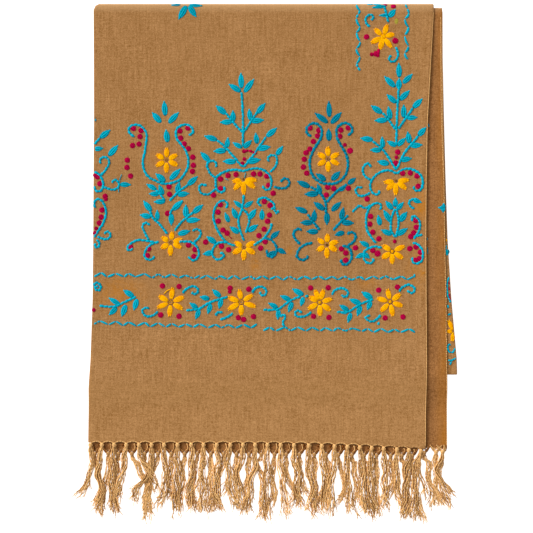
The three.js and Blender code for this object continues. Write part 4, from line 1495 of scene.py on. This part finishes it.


# How each row of tassels meets its hem. A leg is one of the pairs of threads that run from the hem
# down to a knot: (half its spread, its height, its shade). The under row's thread, knots and legs
# are painted dark as the shade under the front layer. Right of lit_from, out from under it, the
# thread and the knots are painted lighter by lit_shade.
FRONT_HEM = {
    "y": lambda x: HEM_LEFT - hem_drop(x),
    "z": lambda x: FRONT_FLAT + 0 * x,
    "drawn": ROPE_SCALLOP, "fullness": 0.8, "rope_shade": 0.95, "lit_from": 999, "lit_shade": 0,
    "knot_below": 2.0, "knot_radius": 2.2, "knot_shade": 1.15,
    "legs": (), "leg_radius": 0.6,
}
UNDER_HEM_LINE = {
    "y": lambda x: UNDER_HEM - under_sag(x),
    "z": lambda x: UNDER_FLAT + 0.3 + 0 * x,
    "drawn": UNDER_SCALLOP, "fullness": UNDER_FULLNESS, "rope_shade": 0.35,
    "lit_from": 162, "lit_shade": 0.8,
    "knot_below": 3.2, "knot_radius": 2.2, "knot_shade": 0.3,
    "legs": ((6, 7.5, -0.7), (4.8, 6.5, -0.65), (3.5, 5.2, -0.6), (1.8, 4.2, -0.45)),
    "leg_radius": 0.85,
}


TONGUE_SIDES = [1, 1, 1, -1]  # most of the lit threads bow to the right
TONGUE_LIFT = 0.6  # the threads lie this far above the middle of the under layer's end
TONGUE_MARGIN = 3  # the last ones are this far left of the front row's last knot
DARK_BELOW, DARK_END = 0.7, 0.7  # how far below the hem they start and how thick they end
# The dark threads beside each lit one, painted dark as the shade there: how far across they start,
# how far down they run, radius
DARK_THREADS = ((4.6, 3.4, 1.1), (3.6, 5.4, 0.8), (-4.7, 2.6, 1.0))
RING_WIDE, RING_HIGH, RING_ABOVE, RING_THICK, RING_STEPS = 1.25, 1.1, 1.9, 0.6, 8


def tongue_threads(material):
    """What shows between the front row's knots, at each knot of the under row that shows there.

    It is a lit thread, three dark ones beside it, painted dark as the shade there, and a small ring.
    """
    pile = Pile()
    for x in UNDER_KNOTS:
        if x > FRONT_KNOTS[-1] - TONGUE_MARGIN:
            break
        top = HEM_LEFT - hem_drop(x)
        low = UNDER_HEM - under_sag(x) - UNDER_HEM_LINE["knot_below"]
        level = UNDER_FLAT + TONGUE_LIFT
        side = rng.choice(TONGUE_SIDES)
        bow = side * draw("tongue_bow")
        lit = [
            (x + bow * 0.7, top - 0.4, level + 0.4),
            (x + bow, (top + low) / 2 + 0.8, level + 0.6),
            (x + bow * 0.2, low + 2.4, level + 0.2),
        ]
        yarn(pile, smooth_curve(lit, THREAD_STEP), draw("tongue_radius"), draw("tongue_shade"))
        for across, down, radius in DARK_THREADS:
            dark = [
                (x + side * across, top - DARK_BELOW, level),
                (x + side * across * 0.95, top - DARK_BELOW - down * 0.5, level),
                (x + side * across * 0.8, top - DARK_BELOW - down, level - 0.2),
            ]
            yarn(pile, np.array(dark), radius, draw("tongue_dark"), 6, end=DARK_END)
        angle = np.linspace(0, 2 * math.pi, RING_STEPS + 1)
        ring_y = low + RING_ABOVE + RING_HIGH * np.sin(angle)
        ring = np.column_stack([
            x + RING_WIDE * np.cos(angle), ring_y, np.full(RING_STEPS + 1, level)
        ])
        yarn(pile, ring, RING_THICK, draw("tongue_ring"))
    return pile.to_object("tongue_threads", material)


# The cords along the selvedges: inset from the edge, depth below the face, radius and shade
FRONT_CORD = dict(inset=0.45, depth=0.1, radius=0.52, shade=0.7)
UNDER_BEADS = dict(inset=0.55, depth=0.15, radius=0.55)
UNDER_CORD = dict(inset=0.6, depth=0.35, radius=0.75, shade=-0.1)
CORD_STEP, BEAD_STEP = 2.5, 1.2
# The beads lie this much further in from the first of these distances to the second, in y
BEADS_IN, BEADS_FROM, BEADS_TO = 1.3, 60, 150
UNDER_CORD_FROM = 70


def edge_cords(material):
    """The cord on the front layer's free edge, and the beads and brown cord on the under one's."""
    pile = Pile()

    def under_path(x, y, depth):
        return np.column_stack([x, y, surface_height(UNDER_MID, UNDER_FLAT, x, y) - depth])

    y = np.arange(HEM_LEFT - 3, TOP_FOLD - 6, CORD_STEP)
    x = edge("front", y) - FRONT_CORD["inset"]
    z = surface_height(FRONT_MID, FRONT_FLAT, x, y) + edge_curl(x, y) - FRONT_CORD["depth"]
    yarn(pile, np.column_stack([x, y, z]), FRONT_CORD["radius"], FRONT_CORD["shade"])

    y = np.arange(UNDER_HEM + 1, TOP_FOLD - 12, BEAD_STEP)
    x = edge("under", y) - UNDER_BEADS["inset"] - BEADS_IN * smooth_step(y, BEADS_FROM, BEADS_TO)
    beads = under_path(x, y, UNDER_BEADS["depth"])
    for first in range(0, len(y) - 2, 2):
        bead = beads[first : first + 3].copy()
        bead[:, 0] += draw("bead_shift")
        yarn(pile, bead, UNDER_BEADS["radius"], draw("bead_shade"))

    y = np.arange(UNDER_CORD_FROM, TOP_FOLD - 5, CORD_STEP)
    cord = under_path(edge("under", y) - UNDER_CORD["inset"], y, UNDER_CORD["depth"])
    yarn(pile, cord, UNDER_CORD["radius"], UNDER_CORD["shade"], 6)
    return pile.to_object("selvedge_threads", material)


FURTHEST_OVER = 0.98  # stitches and cords follow the turn over the top fold up to here


def surface_height(mid, flat_mid, x, y):
    """Height of a draped layer's upper face, up to where it turns over at the top fold."""
    radius = mid - FOLD_MID + THIN / 2
    over = np.clip((y - top_centre(mid)) / radius, 0, FURTHEST_OVER)
    round_off = radius * (1 - np.sqrt(1 - over * over))
    return ramp_height(y, mid, flat_mid) + THIN / 2 + ripple(x, y) - round_off


# ---------------------------------------------------------------- materials


class Graph:
    """Short helpers for one material's nodes."""

    def __init__(self, name):
        self.material = bpy.data.materials.new(name)
        self.material.use_nodes = True
        self.tree = self.material.node_tree
        self.shader = self.tree.nodes["Principled BSDF"]

    def node(self, kind, inputs=None, **settings):
        made = self.tree.nodes.new(kind)
        for key, value in settings.items():
            setattr(made, key, value)
        for key, value in (inputs or {}).items():
            if isinstance(value, bpy.types.NodeSocket):
                self.tree.links.new(value, made.inputs[key])
            else:
                made.inputs[key].default_value = value
        return made

    def math(self, operation, a, b=0.0, clamp=False):
        made = self.node("ShaderNodeMath", {0: a, 1: b}, operation=operation, use_clamp=clamp)
        return made.outputs[0]

    def add(self, a, b, clamp=False):
        return self.math("ADD", a, b, clamp)

    def times(self, a, b):
        return self.math("MULTIPLY", a, b)

    def mix(self, share, a, b):
        made = self.node("ShaderNodeMix", {0: share, 6: a, 7: b}, data_type="RGBA")
        return made.outputs[2]

    def noise(self, vector, scale, detail, roughness=0.5):
        made = self.node(
            "ShaderNodeTexNoise",
            {"Vector": vector, "Scale": scale, "Detail": detail, "Roughness": roughness},
        )
        return made.outputs["Fac"]

    def spread(self, value, low, high, to_low=0.0, to_high=1.0):
        made = self.node(
            "ShaderNodeMapRange", {0: value, 1: low, 2: high, 3: to_low, 4: to_high}
        )
        return made.outputs[0]

    def place(self, scale=(1000, 1000, 1000)):
        """The object's own coordinates, scaled so that 1000 gives millimetres."""
        source = self.node("ShaderNodeTexCoord").outputs["Object"]
        return self.node("ShaderNodeMapping", {"Vector": source, "Scale": scale}).outputs[0]

    def bump(self, height, strength, distance):
        made = self.node(
            "ShaderNodeBump", {"Height": height, "Strength": strength, "Distance": distance}
        )
        self.tree.links.new(made.outputs[0], self.shader.inputs["Normal"])

    def finish(self, colour, roughness, specular):
        self.tree.links.new(colour, self.shader.inputs["Base Color"])
        self.shader.inputs["Roughness"].default_value = roughness
        self.shader.inputs["Specular IOR Level"].default_value = specular
        return self.material


def srgb(red, green, blue):
    """A colour given as 0-255 values, as the renderer wants it."""
    def one(value):
        value /= 255
        return value / 12.92 if value <= 0.04045 else ((value + 0.055) / 1.055) ** 2.4

    return (one(red), one(green), one(blue), 1.0)


# Old orange dye marks: middle, half width, half length and strength
STAINS = (
    dict(x=155, y=57, wide=16, long=19, strength=1.0),
    dict(x=155, y=-9, wide=9, long=5, strength=0.9),
    dict(x=-146, y=-30, wide=26, long=20, strength=0.8),
    dict(x=23, y=14, wide=5, long=5, strength=0.9),
    dict(x=150, y=-3, wide=14, long=30, strength=0.5),
    dict(x=-12, y=-1, wide=6, long=11, strength=0.8),
    dict(x=100, y=-18, wide=12, long=8, strength=0.6),
    dict(x=-108, y=108, wide=12, long=10, strength=0.55),
    dict(x=-42, y=-38, wide=12, long=22, strength=0.4),
    dict(x=110, y=77, wide=7, long=7, strength=0.6),
    dict(x=84, y=26, wide=8, long=6, strength=0.5),
)
FOLD_HIGHLIGHT = srgb(228, 182, 130)  # painted highlight: the paler tone along the top fold, where the light catches it
RAMP_PAINTED_LIGHT = srgb(226, 168, 100)  # painted light: a paler tone that lifts the shade on the ramp, where the front end slopes down away from the light
DARKER_FROM = (-75.0, -45.0)  # the embroidered part is a little darker: where that begins and is full
SELVEDGE_TINT = (167.0, 180.0)  # where the under layer's own dye mark begins and is full, in x
# What the cloth's tone is made of: noise scales along x and y per metre, detail, roughness, weight
CLOTH_GRAIN = (
    (900, 900, 2.0, 0.7, 0.7),
    (330, 420, 2.0, 0.6, 0.3),
    (640, 40, 3.0, 0.6, 0.34),
    (60, 700, 3.0, 0.6, 0.22),
    (45, 35, 4.0, 0.6, 0.18),
)
GRAIN_ALONG_Z, GRAIN_STRENGTH = 900, 2.2  # its scale along z, and how strongly it shows
STAIN_OUT, STAIN_IN = 1.2, 0.1  # a mark fades out and is full at these shares of its half size
STAIN_CORE, STAIN_CORE_SHARE = (0.62, 0.9), 0.7  # where it is strong its ragged gaps fill up
SELVEDGE_SHARE = 0.62  # the most of the dye that the under layer's own mark has
CREST, CREST_SHARE = 9, 0.6  # how far down the painted highlight on the top fold reaches, and the most of its tone
DARKER_SHARE = 0.1  # the most of the darker tone that the embroidered part has
# The painted light on the ramp takes on over the first distance, down the ramp, and is strongest
# there. Over the second, towards the ramp's foot, it loses some again, and what is left stays on the
# plain end below.
PALE_REACH, PALE_SHARE = 14, 0.13
LESS_PALE_REACH, LESS_PALE = 16, 0.08
WEAVE = ((0.62, "X"), (0.58, "Y"))  # warp and weft: the scale and direction of their waves
CLOTH_ROUGHNESS, CLOTH_BUMP, CLOTH_RELIEF = 0.95, 0.45, 0.0003
THREAD_ROUGHNESS, THREAD_BUMP, THREAD_RELIEF = 0.7, 0.3, 0.0002
SPECULAR = 0.03


def stain_marks(graph):
    """The dye marks of STAINS, each strongest in its middle."""
    marks = None
    for row in STAINS:
        shifted = graph.node(
            "ShaderNodeMapping",
            {
                "Vector": graph.node("ShaderNodeTexCoord").outputs["Object"],
                "Location": (-row["x"] / row["wide"], -row["y"] / row["long"], 0),
                "Scale": (1000 / row["wide"], 1000 / row["long"], 0),
            },
        ).outputs[0]
        reach = graph.node("ShaderNodeVectorMath", {0: shifted}, operation="LENGTH").outputs[1]
        mark = graph.spread(reach, STAIN_OUT, STAIN_IN, 0.0, row["strength"])
        marks = mark if marks is None else graph.math("MAXIMUM", marks, mark)
    return marks


def cloth_material(name, light, dark, stain, stained=True, contrast=1.0):
    """Plain-woven fine wool: mottled yarns, faint streaks along both directions, a woven relief.

    A stained cloth has the dye marks of STAINS; any other has them along its open selvedge only.
    """
    graph = Graph(name)
    tone = None
    for along_x, along_y, detail, roughness, weight in CLOTH_GRAIN:
        noise = graph.noise(graph.place((along_x, along_y, GRAIN_ALONG_Z)), 1.0, detail, roughness)
        part = graph.times(graph.math("SUBTRACT", noise, 0.5), weight * GRAIN_STRENGTH * contrast)
        tone = part if tone is None else graph.add(tone, part)
    tone = graph.add(tone, 0.5, clamp=True)
    colour = graph.mix(tone, dark, light)
    mm = graph.place()
    if stained:
        marks = stain_marks(graph)
        ragged = graph.spread(graph.noise(mm, 0.22, 4.0, 0.7), 0.33, 0.58)
        core = graph.spread(marks, *STAIN_CORE, 0.0, STAIN_CORE_SHARE)
        ragged = graph.math("MAXIMUM", ragged, core)
    else:
        x = graph.node("ShaderNodeSeparateXYZ", {0: mm}).outputs[0]
        marks = graph.spread(x, *SELVEDGE_TINT, 0.0, SELVEDGE_SHARE)
        ragged = graph.spread(graph.noise(graph.place((60, 12, 60)), 1.0, 4.0, 0.7), 0.3, 0.62)
    colour = graph.mix(graph.times(marks, ragged), colour, stain)
    y = graph.node("ShaderNodeSeparateXYZ", {0: mm}).outputs[1]
    # painted highlight: the cloth is paler along the crest of the top fold
    crest = graph.spread(y, TOP_FOLD - CREST, TOP_FOLD, 0.0, CREST_SHARE)
    colour = graph.mix(crest, colour, FOLD_HIGHLIGHT)
    if stained:
        colour = graph.mix(graph.spread(y, *DARKER_FROM, 0.0, DARKER_SHARE), colour, dark)
        # painted light on the ramp, against the shade where the cloth slopes away from the light
        pale = graph.spread(y, RAMP_START, RAMP_START - PALE_REACH, 0.0, PALE_SHARE)
        less = graph.spread(y, RAMP_END + LESS_PALE_REACH, RAMP_END, 0.0, LESS_PALE)
        colour = graph.mix(graph.math("SUBTRACT", pale, less), colour, RAMP_PAINTED_LIGHT)
    warp, weft = (
        graph.node(
            "ShaderNodeTexWave", {"Vector": mm, "Scale": scale, "Distortion": 1.2, "Detail": 1.0},
            bands_direction=direction,
        ).outputs["Fac"]
        for scale, direction in WEAVE
    )
    height = graph.add(graph.times(warp, weft), graph.noise(mm, 1.0, 2.0, 0.7))
    graph.bump(height, CLOTH_BUMP, CLOTH_RELIEF)
    return graph.finish(colour, CLOTH_ROUGHNESS, SPECULAR)


def thread_material(name, light, dark, body=0.5, shade=0.28, pitch=2.6, ply=0.08):
    """A plied thread with painted shade: darker towards its edges and ends by body; shade tells one
    from another.
    """
    graph = Graph(name)
    marks = graph.node("ShaderNodeAttribute", attribute_name="thread").outputs["Vector"]
    parts = graph.node("ShaderNodeSeparateXYZ", {0: marks})
    along, across, chance = parts.outputs[0], parts.outputs[1], parts.outputs[2]
    turns = graph.times(along, 2 * math.pi / pitch)
    wind = graph.math("SINE", graph.add(turns, graph.times(across, 2.2)))
    fibre = graph.noise(graph.place(), 1.5, 3.0, 0.65)
    # painted shade: lighter along a thread's middle, darker towards its sides and ends
    middle = graph.math("SUBTRACT", 1.0, graph.math("POWER", graph.math("ABSOLUTE", across), 3.0))
    tone = graph.times(middle, body)
    tone = graph.add(tone, graph.times(chance, shade))
    tone = graph.add(tone, graph.times(graph.spread(fibre, 0.3, 0.7), 0.22))
    tone = graph.add(tone, graph.times(wind, ply), clamp=True)
    colour = graph.mix(tone, dark, light)
    graph.bump(graph.add(wind, fibre), THREAD_BUMP, THREAD_RELIEF)
    return graph.finish(colour, THREAD_ROUGHNESS, SPECULAR)


FLOOR_TONES = (190, 190, 190), (193, 193, 193)
FLOOR_GLOW, FLOOR_ROUGHNESS = 1.75, 0.9


def floor_material():
    """A pale sheet that is lit from under as well, so that shadows on it stay faint."""
    graph = Graph("pale_floor")
    cloud = graph.noise(graph.place((8, 8, 8)), 1.0, 2.0)
    colour = graph.mix(cloud, *(srgb(*tone) for tone in FLOOR_TONES))
    graph.tree.links.new(colour, graph.shader.inputs["Emission Color"])
    graph.shader.inputs["Emission Strength"].default_value = FLOOR_GLOW
    return graph.finish(colour, FLOOR_ROUGHNESS, 0.0)


# ---------------------------------------------------------------- camera, light and floor

PHOTO_SIDE = 533.0  # the photograph's side, one millimetre to a pixel at the front layer's height
PHOTO_CENTRE = (-0.5, -2.0)
LENS, SENSOR = 100.0, 36.0
KEY_ENERGY, KEY_WIDTH = 3.2, 26  # the key light's strength and how wide it is seen, in degrees
KEY_TILT, KEY_TURN = -59, 55
WORLD_STRENGTH = 0.5
FLOOR_HALF, FLOOR_BELOW = 12000, 0.0002  # the floor's half side in mm and its depth in m


def add_camera():
    data = bpy.data.cameras.new("camera")
    data.lens, data.sensor_width = LENS, SENSOR
    data.clip_end = 20
    made = bpy.data.objects.new("camera", data)
    height = PHOTO_SIDE * LENS / SENSOR + FRONT_BOX[1][2]
    made.location = (PHOTO_CENTRE[0] * MM, PHOTO_CENTRE[1] * MM, height * MM)
    bpy.context.scene.collection.objects.link(made)
    bpy.context.scene.camera = made


def add_key_light():
    """A broad, soft light from the upper left."""
    data = bpy.data.lights.new("key", "SUN")
    data.energy, data.angle = KEY_ENERGY, math.radians(KEY_WIDTH)
    made = bpy.data.objects.new("key", data)
    made.rotation_euler = (math.radians(KEY_TILT), 0, math.radians(KEY_TURN))
    made.location = (-1, 1, 1)
    bpy.context.scene.collection.objects.link(made)


def add_surroundings():
    world = bpy.data.worlds.new("studio")
    world.use_nodes = True
    background = world.node_tree.nodes["Background"]
    background.inputs["Color"].default_value = (1, 1, 1, 1)
    background.inputs["Strength"].default_value = WORLD_STRENGTH
    scene = bpy.context.scene
    scene.world = world
    scene.view_settings.view_transform = "Standard"
    add_key_light()
    points = [(x * FLOOR_HALF, y * FLOOR_HALF, 0) for x, y in ((-1, -1), (1, -1), (1, 1), (-1, 1))]
    floor = make_object("floor", points, [[0, 1, 2, 3]], floor_material(), smooth=False)
    floor.location.z = -FLOOR_BELOW


# ---------------------------------------------------------------- the shawl


STAIN = srgb(196, 124, 34)
FACE = srgb(204, 153, 100), srgb(136, 91, 42)  # light and dark
REVERSE = srgb(188, 131, 78), srgb(116, 72, 34)
YARN = srgb(255, 202, 132), srgb(118, 62, 12)
# Each thread's material, its light colour and its dark one
THREADS = {
    "teal": ("teal_thread", srgb(0, 188, 214), srgb(0, 98, 114)),
    "deep": ("deep_teal_thread", srgb(0, 148, 176), srgb(0, 74, 94)),
    "yellow": ("yellow_thread", srgb(255, 194, 0), srgb(244, 140, 0)),
    "crimson": ("crimson_thread", srgb(198, 4, 74), srgb(106, 0, 32)),
    "olive": ("olive_thread", srgb(176, 164, 62), srgb(134, 118, 40)),
    "heart": ("heart_thread", srgb(150, 100, 36), srgb(84, 46, 10)),
}
FRONT_TASSEL_Z, UNDER_TASSEL_Z = (1.5, 3.7), (0.6, 1.5)  # the heights that each row keeps between
# Stitches keep this far inside what shows of a layer: from its left edge and from its right one
FRONT_MARGINS, UNDER_MARGINS, BACK_MARGINS = (0.7, 0.8), (0.0, 0.2), (0.3, 0.3)


def build_shawl():
    face = cloth_material("cloth_face", *FACE, STAIN)
    reverse = cloth_material("cloth_reverse", *REVERSE, STAIN, stained=False, contrast=1.1)
    fringe_yarn = thread_material(
        "fringe_yarn", *YARN, body=0.3, shade=0.5, pitch=3.6, ply=0.1
    )
    threads = {name: thread_material(*row) for name, row in THREADS.items()}

    front = front_cloth(face)
    under = under_cloth(reverse)
    back = back_cloth(face)
    hidden = hidden_cloth(face)
    front_fringe = fringe_row(
        "front_fringe_tassels", FRONT_TASSELS, STRAY_TASSELS, FRONT_HEM, *FRONT_TASSEL_Z,
        fringe_yarn,
    )
    under_fringe = fringe_row(
        "under_fringe_tassels", UNDER_TASSELS, (), UNDER_HEM_LINE, *UNDER_TASSEL_Z, fringe_yarn
    )
    selvedges = edge_cords(fringe_yarn)
    tongues = tongue_threads(fringe_yarn)

    def front_height(x, y):
        return surface_height(FRONT_MID, FRONT_FLAT, x, y) + edge_curl(x, y)

    def between(left, right, margins, x, y):
        return (edge(left, y) + margins[0] < x) & (x < edge(right, y) - margins[1])

    def on_front(x, y):
        return between("fold", "front", FRONT_MARGINS, x, y) & (y < TOP_FOLD)

    def under_height(x, y):
        return surface_height(UNDER_MID, UNDER_FLAT, x, y)

    def on_under(x, y):
        return between("front", "under", UNDER_MARGINS, x, y)

    def back_height(x, y):
        return BACK_MID + THIN / 2 + ripple(x, y)

    def on_back(x, y):
        return between("under", "back", BACK_MARGINS, x, y) & (y > BACK_FOLD + 1)

    layers = {
        "front": (Embroidery(front_height, on_front), stitch_front),
        "back": (Embroidery(back_height, on_back), stitch_back),
        "under": (Embroidery(under_height, on_under), stitch_under),
    }
    for embroidery, stitch_layer in layers.values():
        stitch_layer(embroidery)
    embroidered = []
    for label, (embroidery, _) in layers.items():
        for thread, pile in embroidery.piles.items():
            embroidered.append(pile.to_object(f"{label}_{thread}_stitches", threads[thread]))

    threads_on_edges = [front_fringe, under_fringe, selvedges, tongues]
    pieces = [front, under, back, hidden, *threads_on_edges, *embroidered]
    for piece in pieces:
        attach(piece, "root")
    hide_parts("front_layer")
    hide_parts("under_layer")
    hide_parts("back_layer")
    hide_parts("hidden_layers")
    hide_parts("front_fringe")
    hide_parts("under_fringe")
    for piece in pieces:
        print("TRIANGLES", piece.name, sum(len(f.vertices) - 2 for f in piece.data.polygons))


add_camera()
add_surroundings()
build_shawl()
